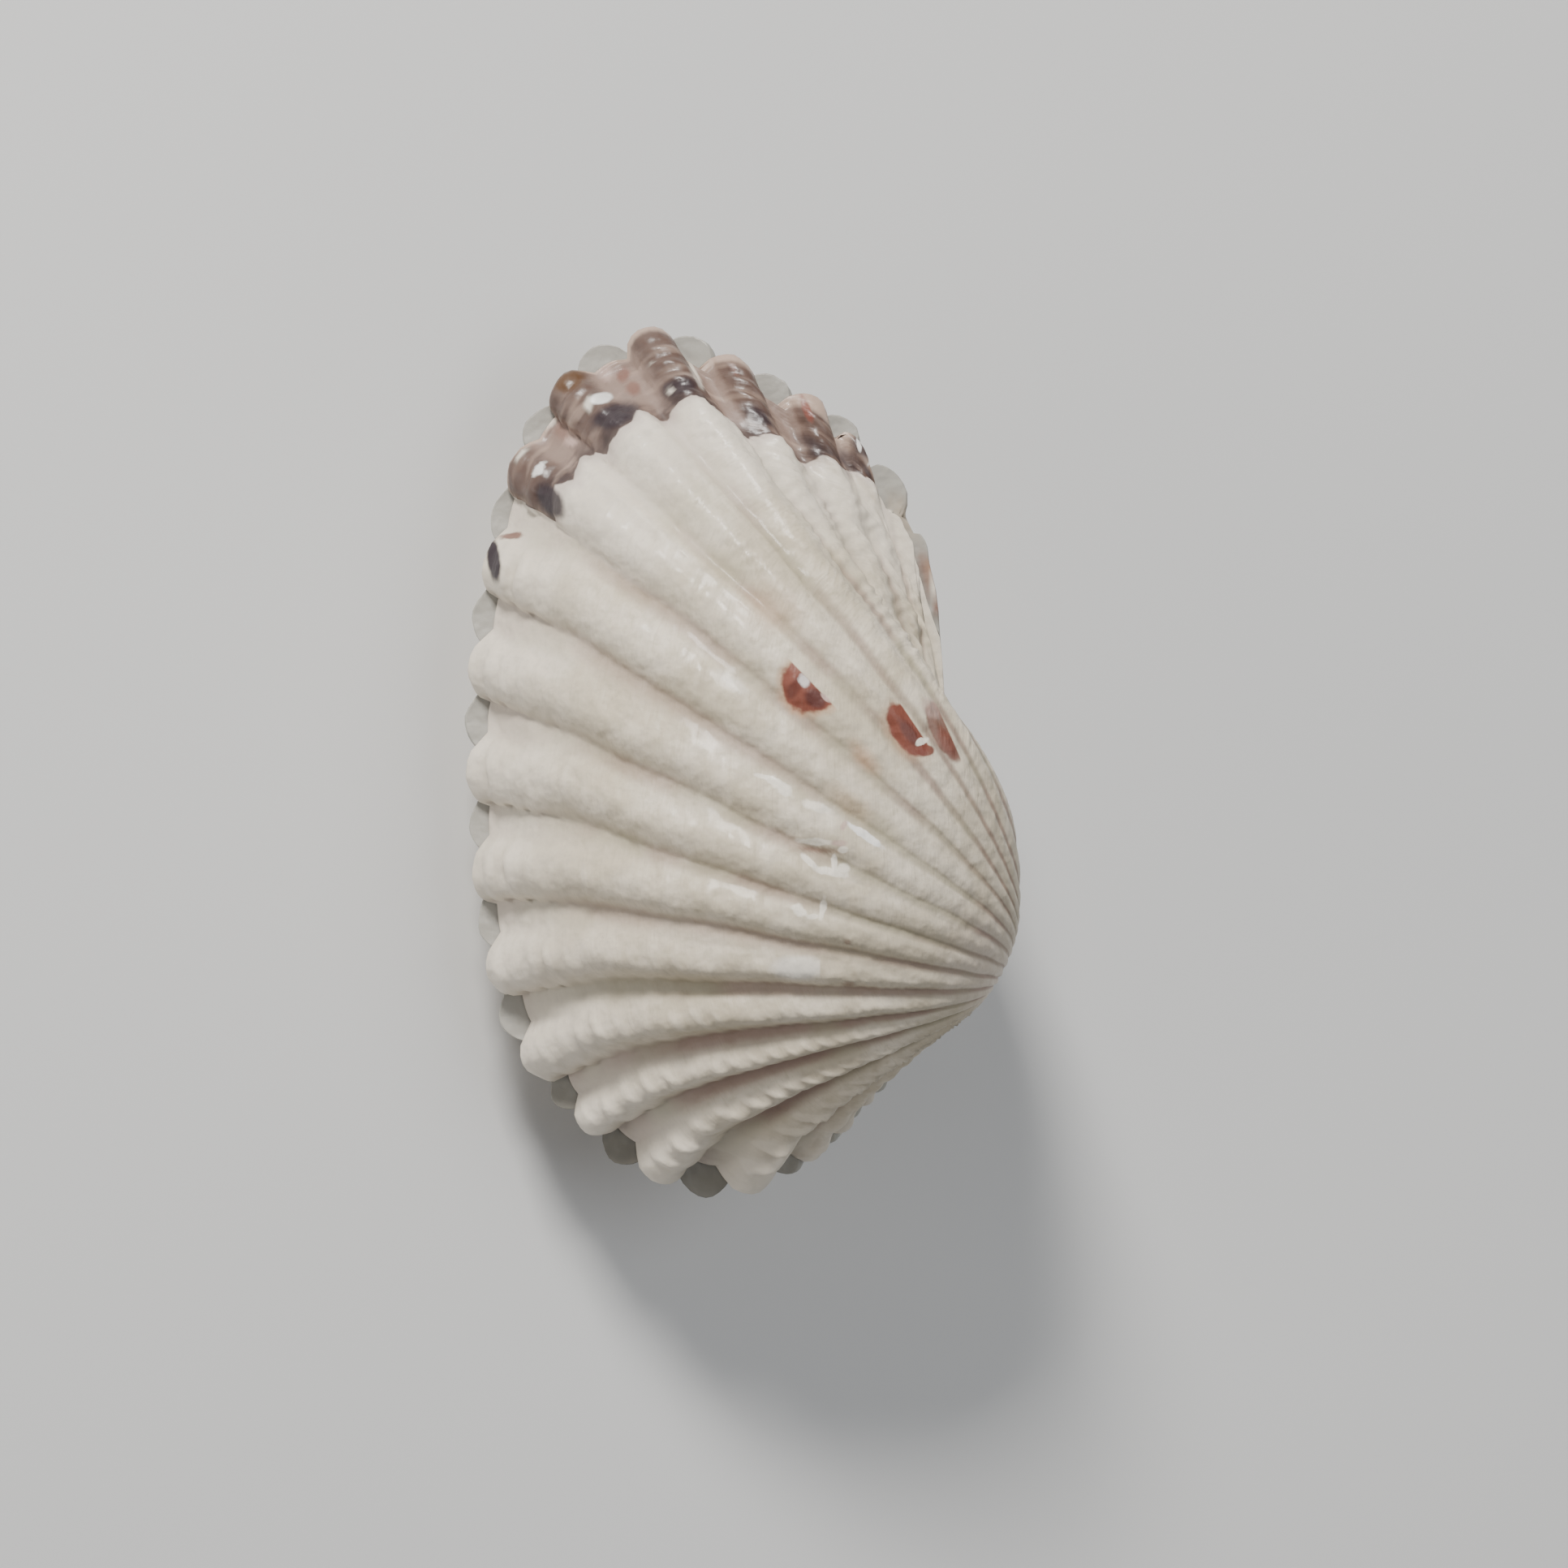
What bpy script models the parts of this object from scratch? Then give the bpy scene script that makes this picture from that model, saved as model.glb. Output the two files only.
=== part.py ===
"""A closed pair of cardita clam valves with the ligament that holds them at the hinge.

Both valves follow one growth rule: the margin turns about the hinge line and shrinks as it turns.
The shell's own frame has its origin on the hinge line, +X dorsal, +Y posterior and +Z to the right valve.
The finished pair is tipped and lifted so that it rests on the worn rib crests of the left valve.
"""

import math

import bmesh
import bpy
import numpy as np
from mathutils import Matrix

MM = 0.001

# Margin of one valve in the plane where the valves meet, in mm from the hinge centre
MARGIN_POINTS = (
    (-0.25, 2.2), (-0.25, -0.5), (-1.3, -2.0), (-3.25, -4.4), (-5.55, -6.7), (-8.7, -7.6),
    (-12.0, -6.7), (-14.7, -4.3), (-16.7, -0.9), (-17.55, 2.8), (-17.75, 6.8), (-17.75, 11.0),
    (-17.3, 15.5), (-16.25, 19.75), (-14.0, 22.9), (-11.25, 24.0), (-7.65, 22.6), (-4.15, 20.5),
    (-1.8, 17.3), (-0.75, 14.0), (-0.4, 10.0), (-0.28, 6.0),
)
MARGIN_SAMPLES = 1200

# Growth rule: turn in radians, shrink rate, drift of the bulge towards the back end
HINGE_LEAN = 0.01
SHRINK_RATE = 0.715
LENGTH_GAIN = 0.045
BACKWARD_DRIFT = 0.255
LAST_TURN = math.radians(173)
TURN_ROWS = 22
ROW_BIAS = 1.12

# The ribs lean forwards round the margin as they run up to the beak, the hind ones later than the front ones
LEAN_SPAN = (0.154, 0.784)
LEAN_AMOUNT = 0.98
LEAN_LIMIT = 2.0
LEAN_POWERS = (1.46, 3.8)
LEAN_POWER_SPAN = (0.44, 0.835)

# Ribs from the front end to the back end, by their width along the margin in mm
FIRST_RIB_START = 4.6
RIB_WIDTHS = (
    1.45, 1.45, 1.4, 1.2, 2.0, 3.6, 3.3, 2.8, 3.6, 3.7, 3.7,
    3.9, 3.9, 3.8, 3.6, 3.4, 3.4, 3.3, 3.1, 3.4, 2.7,
)
COLUMNS_PER_RIB = 4
DORSAL_COLUMNS = 9
RIB_HEIGHT_SHARE = 0.17
RIB_ROUNDNESS = 0.62
CREST_SHARE = 0.42
HALF_RIB = 0.5
# The ribs fade out where the margin comes near the hinge line, in mm from it
RIB_FADE = (0.3, 2.4)
# A groove takes at most this share of the valve's height over the meeting plane
GROOVE_LIMIT = 0.7

# The youngest growth at the back end is thinner, past a step in the shell
BAND_START = 0.545
BAND_END = 0.80
BAND_TURN = math.radians(13)
BAND_DROP = 0.22

# Hollow inside each valve, as the smooth valve form shrunk about a centre in mm
HOLLOW_SCALE = (0.80, 0.86, 0.82)
HOLLOW_CENTRE = (-9.5, 8.5, 0.0)
HOLLOW_COLUMNS = 22
HOLLOW_ROWS = 9
HOLLOW_TURN = math.radians(150)
HOLLOW_OVERCUT = 0.6

# Clearance on each side of the plane where the valves meet
MEETING_GAP = 0.15

# Ligament behind the beaks, in mm
LIGAMENT_START = (0.56, 5.3)
LIGAMENT_END = (0.25, 9.3)
LIGAMENT_HEIGHT = 0.5
LIGAMENT_WIDTH = 0.3
LIGAMENT_SECTIONS = 9
LIGAMENT_SIDES = 12

# Resting pose: the margin side tips down, and the footprint's middle comes to the origin, in mm
REST_TIP = math.radians(23)
REST_SHIFT = (6.70, -8.11, 9.943)
WEAR_SIZE = (30.0, 40.0, 2.0)

VALVE_COLOUR = (0.68, 0.63, 0.57, 1.0)
VALVE_ROUGHNESS = 0.42
LIGAMENT_COLOUR = (0.055, 0.032, 0.02, 1.0)
LIGAMENT_ROUGHNESS = 0.55


def clear_scene():
    """Remove every object that the start scene holds."""
    for item in list(bpy.data.objects):
        bpy.data.objects.remove(item, do_unlink=True)


def margin_curve():
    """Sample the closed margin as a smooth curve, evenly along its length."""
    points = np.array(MARGIN_POINTS)
    count = len(points)
    per_span = MARGIN_SAMPLES // count
    samples = []
    for index in range(count):
        before, start, end, after = (points[(index + step) % count] for step in (-1, 0, 1, 2))
        for step in range(per_span):
            t = step / per_span
            samples.append(0.5 * (
                2 * start + (end - before) * t
                + (2 * before - 5 * start + 4 * end - after) * t ** 2
                + (3 * start - before - 3 * end + after) * t ** 3
            ))
    samples.append(samples[0])
    curve = np.array(samples)
    lengths = np.concatenate(([0.0], np.cumsum(np.linalg.norm(np.diff(curve, axis=0), axis=1))))
    return curve, lengths


MARGIN_CURVE, MARGIN_LENGTHS = margin_curve()
MARGIN_LENGTH = MARGIN_LENGTHS[-1]
RIB_EDGES = FIRST_RIB_START + np.concatenate(([0.0], np.cumsum(RIB_WIDTHS)))


def margin_at(share):
    """Point of the margin at a share of its whole length."""
    length = np.mod(share, 1.0) * MARGIN_LENGTH
    return np.array([np.interp(length, MARGIN_LENGTHS, MARGIN_CURVE[:, axis]) for axis in (0, 1)])


def leaned(share, turn):
    """Share of the margin that a rib has reached after a turn towards the beak."""
    start, end = LEAN_SPAN
    if not start < share < end:
        return share
    early, late = LEAN_POWERS
    power = early + (late - early) * smooth_step(*LEAN_POWER_SPAN, share)
    amount = LEAN_AMOUNT * (turn / (math.pi / 2)) ** power
    amount = LEAN_LIMIT * math.tanh(amount / LEAN_LIMIT)
    part = (share - start) / (end - start)
    return start + (end - start) * part / (part + (1.0 - part) * math.exp(amount))


def reach_at(share, turn):
    """Distance of the margin from the hinge line at the point that a rib has reached, in mm."""
    outward = np.array((math.cos(HINGE_LEAN), math.sin(HINGE_LEAN)))
    return max(-float(margin_at(leaned(share, turn)) @ outward), 0.2)


def growth_point(share, turn):
    """Point of the smooth valve at a margin share and a turn about the hinge line, in mm."""
    margin = margin_at(leaned(share, turn))
    along = np.array((-math.sin(HINGE_LEAN), math.cos(HINGE_LEAN)))
    outward = np.array((math.cos(HINGE_LEAN), math.sin(HINGE_LEAN)))
    reach = reach_at(share, turn)
    run = float(margin @ along) * math.exp(LENGTH_GAIN * turn) + BACKWARD_DRIFT * reach * turn
    shrink = math.exp(-SHRINK_RATE * turn)
    flat = shrink * (run * along - reach * math.cos(turn) * outward)
    return np.array((flat[0], flat[1], shrink * reach * math.sin(turn)))


def growth_normal(share, turn):
    """Outward direction of the smooth valve."""
    step = 0.004
    across = growth_point(share + step, turn) - growth_point(share - step, turn)
    up = growth_point(share, turn + step) - growth_point(share, max(turn - step, 0.0))
    normal = np.cross(up, across)
    return normal / max(np.linalg.norm(normal), 1e-9)


def smooth_step(low, high, value):
    """Rise from 0 to 1 between two values."""
    t = min(max((value - low) / (high - low), 0.0), 1.0)
    return t * t * (3.0 - 2.0 * t)


def rib_height(share, phase):
    """Height of the ribbed surface over the smooth valve at the margin, in mm."""
    length = share * MARGIN_LENGTH
    count = np.interp(length, RIB_EDGES, np.arange(len(RIB_EDGES))) - phase
    if length <= RIB_EDGES[0] or length >= RIB_EDGES[-1]:
        return 0.0
    rib = min(int(np.searchsorted(RIB_EDGES, length)) - 1, len(RIB_WIDTHS) - 1)
    height = RIB_HEIGHT_SHARE * min(RIB_WIDTHS[rib], 3.9)
    ends = smooth_step(0.0, 1.2, length - RIB_EDGES[0]) * smooth_step(0.0, 1.2, RIB_EDGES[-1] - length)
    crest = abs(math.sin(math.pi * count)) ** RIB_ROUNDNESS
    return height * ends * (crest - (1.0 - CREST_SHARE))


def band_drop(share, turn):
    """How far the youngest growth lies below the older shell, in mm."""
    inside = smooth_step(BAND_START, BAND_START + 0.08, share) * smooth_step(BAND_END, BAND_END - 0.06, share)
    return BAND_DROP * inside * (1.0 - smooth_step(0.55 * BAND_TURN, BAND_TURN, turn))


def valve_point(share, turn, phase):
    """Point of the ribbed outside of a valve, in mm."""
    point = growth_point(share, turn)
    fade = smooth_step(*RIB_FADE, reach_at(share, turn))
    lift = fade * (rib_height(share, phase) * math.exp(-SHRINK_RATE * turn) - band_drop(share, turn))
    normal = growth_normal(share, turn)
    if turn > 0.0:
        lift = max(lift, -GROOVE_LIMIT * point[2] / max(normal[2], 0.1))
    point = point + lift * normal
    point[2] = MEETING_GAP if turn == 0.0 else point[2] + MEETING_GAP
    return point


def hollow_point(share, turn):
    """Point of the hollow's wall, in mm."""
    point = growth_point(share, turn)
    centre = np.array(HOLLOW_CENTRE)
    point = centre + (point - centre) * np.array(HOLLOW_SCALE)
    if turn == 0.0:
        point[2] = -HOLLOW_OVERCUT
    return point


def rib_columns():
    """Shares of the margin where a ribbed valve has a column of points."""
    steps = np.arange(len(RIB_WIDTHS) * COLUMNS_PER_RIB + 1) / COLUMNS_PER_RIB
    ribbed = np.interp(steps, np.arange(len(RIB_EDGES)), RIB_EDGES)
    dorsal = np.linspace(RIB_EDGES[-1], RIB_EDGES[0] + MARGIN_LENGTH, DORSAL_COLUMNS + 1)[1:-1]
    return np.concatenate((ribbed, dorsal)) / MARGIN_LENGTH


def grown_mesh(name, shares, turns, place):
    """Make a closed form from a grid that is wrapped round the margin and up to the beak."""
    form = bmesh.new()
    bmesh.ops.create_grid(form, x_segments=len(shares), y_segments=len(turns) - 1, size=1.0)
    closed_shares = np.append(shares, shares[0])
    for vertex in form.verts:
        column = round((vertex.co.x + 1.0) / 2.0 * len(shares))
        row = round((vertex.co.y + 1.0) / 2.0 * (len(turns) - 1))
        vertex.co = place(closed_shares[column], turns[row]) * MM
    bmesh.ops.remove_doubles(form, verts=form.verts, dist=1e-7)
    open_edges = [edge for edge in form.edges if edge.is_boundary]
    bmesh.ops.holes_fill(form, edges=open_edges, sides=len(shares) + 2)
    bmesh.ops.triangulate(form, faces=form.faces)
    bmesh.ops.recalc_face_normals(form, faces=form.faces)
    mesh = bpy.data.meshes.new(name)
    form.to_mesh(mesh)
    form.free()
    return mesh


def resting_matrix():
    """Turn and shift from the shell's own frame to its resting pose."""
    return Matrix.Translation([value * MM for value in REST_SHIFT]) @ Matrix.Rotation(-REST_TIP, 4, "Y")


def add_object(name, mesh, collection, material=None):
    """Put a mesh in a collection as a named object."""
    item = bpy.data.objects.new(name, mesh)
    collection.objects.link(item)
    if material is not None:
        mesh.materials.append(material)
    return item


def as_cutter(item):
    """Show an object as a wire guide that only cuts."""
    item.hide_render = True
    item.display_type = "WIRE"


def cut_by(item, cutter, label):
    """Take a cutter's space out of an object."""
    cut = item.modifiers.new(label, "BOOLEAN")
    cut.operation = "DIFFERENCE"
    cut.object = cutter


def make_material(name, colour, roughness):
    """A plain surface of one colour."""
    material = bpy.data.materials.new(name)
    material.use_nodes = True
    shader = material.node_tree.nodes["Principled BSDF"]
    shader.inputs["Base Color"].default_value = colour
    shader.inputs["Roughness"].default_value = roughness
    shader.inputs["Metallic"].default_value = 0.0
    return material


def make_valve(name, mirrored, phase, material, parts, cutters):
    """Build one valve: the ribbed outside, less the hollow."""
    side = -1.0 if mirrored else 1.0
    flip = np.array((1.0, 1.0, side))
    turns = LAST_TURN * (np.arange(TURN_ROWS + 1) / TURN_ROWS) ** ROW_BIAS
    outside = grown_mesh(name, rib_columns(), turns, lambda s, t: valve_point(s, t, phase) * flip)
    valve = add_object(name, outside, parts, material)
    valve.matrix_world = resting_matrix()
    shares = (np.arange(HOLLOW_COLUMNS) + 0.5) / HOLLOW_COLUMNS
    hollow_turns = np.linspace(0.0, HOLLOW_TURN, HOLLOW_ROWS + 1)
    inside = grown_mesh(name + "_hollow", shares, hollow_turns, lambda s, t: hollow_point(s, t) * flip)
    hollow = add_object(name + "_hollow", inside, cutters)
    hollow.matrix_world = resting_matrix()
    as_cutter(hollow)
    cut_by(valve, hollow, "hollow")
    return valve


def make_wear(cutters):
    """Make the flat block under the resting plane that stands for what the rib crests have lost."""
    form = bmesh.new()
    bmesh.ops.create_cube(form, size=1.0)
    bmesh.ops.scale(form, verts=form.verts, vec=[size * MM for size in WEAR_SIZE])
    bmesh.ops.translate(form, verts=form.verts, vec=(0.0, 0.0, -WEAR_SIZE[2] * MM / 2.0))
    mesh = bpy.data.meshes.new("wear")
    form.to_mesh(mesh)
    form.free()
    wear = add_object("wear", mesh, cutters)
    as_cutter(wear)
    return wear


def make_ligament(material, parts):
    """Build the horny band behind the beaks as a tapering bar along the hinge line."""
    start = np.array(LIGAMENT_START)
    end = np.array(LIGAMENT_END)
    form = bmesh.new()
    bmesh.ops.create_cone(
        form, cap_ends=True, segments=LIGAMENT_SIDES, radius1=1.0, radius2=1.0, depth=2.0,
    )
    long_edges = [edge for edge in form.edges if abs(edge.verts[0].co.z - edge.verts[1].co.z) > 1.0]
    bmesh.ops.subdivide_edges(form, edges=long_edges, cuts=LIGAMENT_SECTIONS - 1)
    for vertex in form.verts:
        along = (vertex.co.z + 1.0) / 2.0
        swell = 0.45 + 0.55 * math.sin(math.pi * (0.12 + 0.76 * along)) ** 0.8
        middle = start + (end - start) * along
        vertex.co = (
            (middle[0] + vertex.co.x * LIGAMENT_WIDTH * swell) * MM,
            middle[1] * MM,
            vertex.co.y * LIGAMENT_HEIGHT * swell * MM,
        )
    bmesh.ops.recalc_face_normals(form, faces=form.faces)
    mesh = bpy.data.meshes.new("ligament")
    form.to_mesh(mesh)
    form.free()
    ligament = add_object("ligament", mesh, parts, material)
    ligament.matrix_world = resting_matrix()
    return ligament


def main():
    """Build the pair of valves and the ligament."""
    clear_scene()
    parts = bpy.data.collections.new("cardita_clam_shell")
    cutters = bpy.data.collections.new("cutters")
    bpy.context.scene.collection.children.link(parts)
    bpy.context.scene.collection.children.link(cutters)
    shell = make_material("shell", VALVE_COLOUR, VALVE_ROUGHNESS)
    horn = make_material("horn", LIGAMENT_COLOUR, LIGAMENT_ROUGHNESS)
    make_valve("right_valve", False, 0.0, shell, parts, cutters)
    left_valve = make_valve("left_valve", True, HALF_RIB, shell, parts, cutters)
    cut_by(left_valve, make_wear(cutters), "wear")
    make_ligament(horn, parts)


main()
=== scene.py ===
"""Looks of a closed pair of cardita clam valves that lies tipped on a plain pale floor.

Both valves follow one growth rule: the margin turns about the hinge line and shrinks as it turns.
The shell's own frame has its origin on the hinge line, +X dorsal, +Y to the back end and +Z to the
right valve. Sizes in that frame are in millimetres, and the placing brings them to the world.
"""

import logging
import math
from dataclasses import dataclass, field
from enum import Enum

import bpy
import numpy as np
from mathutils import Matrix, Vector


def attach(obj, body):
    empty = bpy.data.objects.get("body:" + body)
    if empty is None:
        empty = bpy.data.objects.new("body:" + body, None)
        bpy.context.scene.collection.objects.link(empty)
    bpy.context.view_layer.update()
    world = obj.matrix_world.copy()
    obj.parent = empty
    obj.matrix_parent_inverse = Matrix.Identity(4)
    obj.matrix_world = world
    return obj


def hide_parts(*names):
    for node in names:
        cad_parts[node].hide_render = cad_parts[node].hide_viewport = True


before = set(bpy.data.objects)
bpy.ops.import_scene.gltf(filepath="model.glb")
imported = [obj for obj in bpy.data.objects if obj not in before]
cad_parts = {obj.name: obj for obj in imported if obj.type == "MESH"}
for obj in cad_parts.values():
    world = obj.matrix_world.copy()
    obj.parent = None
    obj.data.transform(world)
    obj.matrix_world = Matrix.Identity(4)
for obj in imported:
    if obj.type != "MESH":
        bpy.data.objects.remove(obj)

LOG = logging.getLogger("cardita_clam_shell")
MM = 0.001
ROOT = "root"
Array = np.ndarray
Pair = tuple[float, float]
Triple = tuple[float, float, float]
Socket = bpy.types.NodeSocket

# The pair rests tipped about the hinge line, and its origin stands at this place in mm.
TIP = math.radians(-23.0)
REST_PLACE = (6.70, -8.11, 9.943)

# A path from the margin to the beak is this much longer than its arc about the hinge line.
PATH_STRETCH = 1.23
LEAST_ARC = 4.0

# Marks are placed by counting steps to the right and down, and the hinge line's origin has this count.
MARK_STEP = 0.0302
MARK_ORIGIN = (1178.0, 1204.0)


def smooth_step(low: float, high: float, value: Array) -> Array:
    """Rise smoothly from 0 at the low value to 1 at the high one."""
    t = np.clip((np.asarray(value, dtype=float) - low) / (high - low), 0.0, 1.0)
    return t * t * (3.0 - 2.0 * t)


def ripple(across: Array, along: Array, seed: float) -> Array:
    """Give an even, wandering unevenness from a few crossed waves.

    Args:
        across: First coordinate.
        along: Second coordinate.
        seed: Number that sets one pattern apart from another.

    Returns:
        Values of about -1 to 1.
    """
    total = np.zeros(np.broadcast(across, along).shape)
    for order in range(1, 6):
        turn = seed * 1.7 + order * 2.399
        phase = seed * 5.1 + order * order * 1.3
        line = across * math.cos(turn) + along * math.sin(turn)
        total = total + np.sin(line * (0.8 + 0.47 * order) + phase) / math.sqrt(order)
    return total / 2.2


@dataclass
class GrowthRule:
    """How the smooth valve grows from its beak to its margin, in mm and radians."""

    margin_points: tuple[Pair, ...] = (
        (-0.25, 2.2), (-0.25, -0.5), (-1.3, -2.0), (-3.25, -4.4), (-5.55, -6.7), (-8.7, -7.6),
        (-12.0, -6.7), (-14.7, -4.3), (-16.7, -0.9), (-17.55, 2.8), (-17.75, 6.8), (-17.75, 11.0),
        (-17.3, 15.5), (-16.25, 19.75), (-14.0, 22.9), (-11.25, 24.0), (-7.65, 22.6), (-4.15, 20.5),
        (-1.8, 17.3), (-0.75, 14.0), (-0.4, 10.0), (-0.28, 6.0),
    )
    samples: int = 1200
    hinge_lean: float = 0.01
    shrink_rate: float = 0.715
    length_gain: float = 0.045
    backward_drift: float = 0.255
    least_reach: float = 0.2
    lean_span: Pair = (0.154, 0.784)
    lean_amount: float = 0.98
    lean_limit: float = 2.0
    lean_powers: Pair = (1.46, 3.8)
    lean_power_span: Pair = (0.44, 0.835)

    def __post_init__(self) -> None:
        """Sample the closed margin as a smooth curve."""
        points = np.array(self.margin_points)
        spans = self.samples // len(points)
        t = (np.arange(spans) / spans)[:, None]
        before, end, after = (np.roll(points, shift, axis=0) for shift in (1, -1, -2))
        pieces = [
            0.5 * (2 * b + (c - a) * t + (2 * a - 5 * b + 4 * c - d) * t**2 + (3 * b - a - 3 * c + d) * t**3)
            for a, b, c, d in zip(before, points, end, after)
        ]
        curve = np.vstack(pieces + [pieces[0][:1]])
        self.curve = curve
        self.lengths = np.concatenate(([0.0], np.cumsum(np.linalg.norm(np.diff(curve, axis=0), axis=1))))
        self.length = float(self.lengths[-1])
        self.along = np.array((-math.sin(self.hinge_lean), math.cos(self.hinge_lean)))
        self.outward = np.array((math.cos(self.hinge_lean), math.sin(self.hinge_lean)))

    def margin(self, share: Array) -> Array:
        """Find the margin's points, with x and y last, at shares of its whole length."""
        length = np.mod(share, 1.0) * self.length
        return np.stack([np.interp(length, self.lengths, self.curve[:, axis]) for axis in (0, 1)], axis=-1)

    def margin_outward(self, share: Array) -> Array:
        """Find the directions that point out of the margin in the meeting plane.

        Args:
            share: Shares of the margin's whole length.

        Returns:
            Unit directions, with x and y last.
        """
        step = 0.004
        run = self.margin(share + step) - self.margin(share - step)
        run = run / np.linalg.norm(run, axis=-1, keepdims=True)
        return np.stack((run[..., 1], -run[..., 0]), axis=-1) * self.winding()

    def winding(self) -> float:
        """Tell which way the margin runs round its middle, as 1 or -1."""
        x, y = self.curve[:, 0], self.curve[:, 1]
        return float(np.sign(np.sum(x[:-1] * y[1:] - x[1:] * y[:-1])))

    def leaned(self, share: Array, turn: Array) -> Array:
        """Find the margin share that a rib has reached on its way to the beak.

        Args:
            share: Shares at the margin.
            turn: Turns about the hinge line.

        Returns:
            Shares after the lean.
        """
        start, end = self.lean_span
        early, late = self.lean_powers
        power = early + (late - early) * smooth_step(*self.lean_power_span, share)
        amount = self.lean_amount * (np.maximum(turn, 0.0) / (math.pi / 2)) ** power
        amount = self.lean_limit * np.tanh(amount / self.lean_limit)
        part = np.clip((share - start) / (end - start), 0.0, 1.0)
        leaning = start + (end - start) * part / (part + (1.0 - part) * np.exp(amount))
        return np.where((share > start) & (share < end), leaning, share + 0.0 * turn)

    def reach(self, share: Array, turn: Array) -> Array:
        """Measure in mm how far the leaned margin is from the hinge line."""
        return np.maximum(-(self.margin(self.leaned(share, turn)) @ self.outward), self.least_reach)

    def point(self, share: Array, turn: Array) -> Array:
        """Find points of the smooth valve.

        Args:
            share: Shares at the margin.
            turn: Turns about the hinge line, negative past the meeting plane.

        Returns:
            Points in the shell's frame, with x, y and z last.
        """
        margin = self.margin(self.leaned(share, turn))
        reach = np.maximum(-(margin @ self.outward), self.least_reach)
        run = (margin @ self.along) * np.exp(self.length_gain * turn) + self.backward_drift * reach * turn
        shrink = np.exp(-self.shrink_rate * turn)
        back = reach * np.cos(turn)
        flat_x = shrink * (run * self.along[0] - back * self.outward[0])
        flat_y = shrink * (run * self.along[1] - back * self.outward[1])
        return np.stack((flat_x, flat_y, shrink * reach * np.sin(turn)), axis=-1)

    def normal(self, share: Array, turn: Array) -> Array:
        """Find the outward directions of the smooth valve.

        Args:
            share: Shares at the margin.
            turn: Turns about the hinge line.

        Returns:
            Unit directions, with x, y and z last.
        """
        step = 0.004
        across = self.point(share + step, turn) - self.point(share - step, turn)
        up = self.point(share, turn + step) - self.point(share, turn - step)
        normal = np.cross(up, across)
        return normal / np.maximum(np.linalg.norm(normal, axis=-1, keepdims=True), 1e-9)


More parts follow.
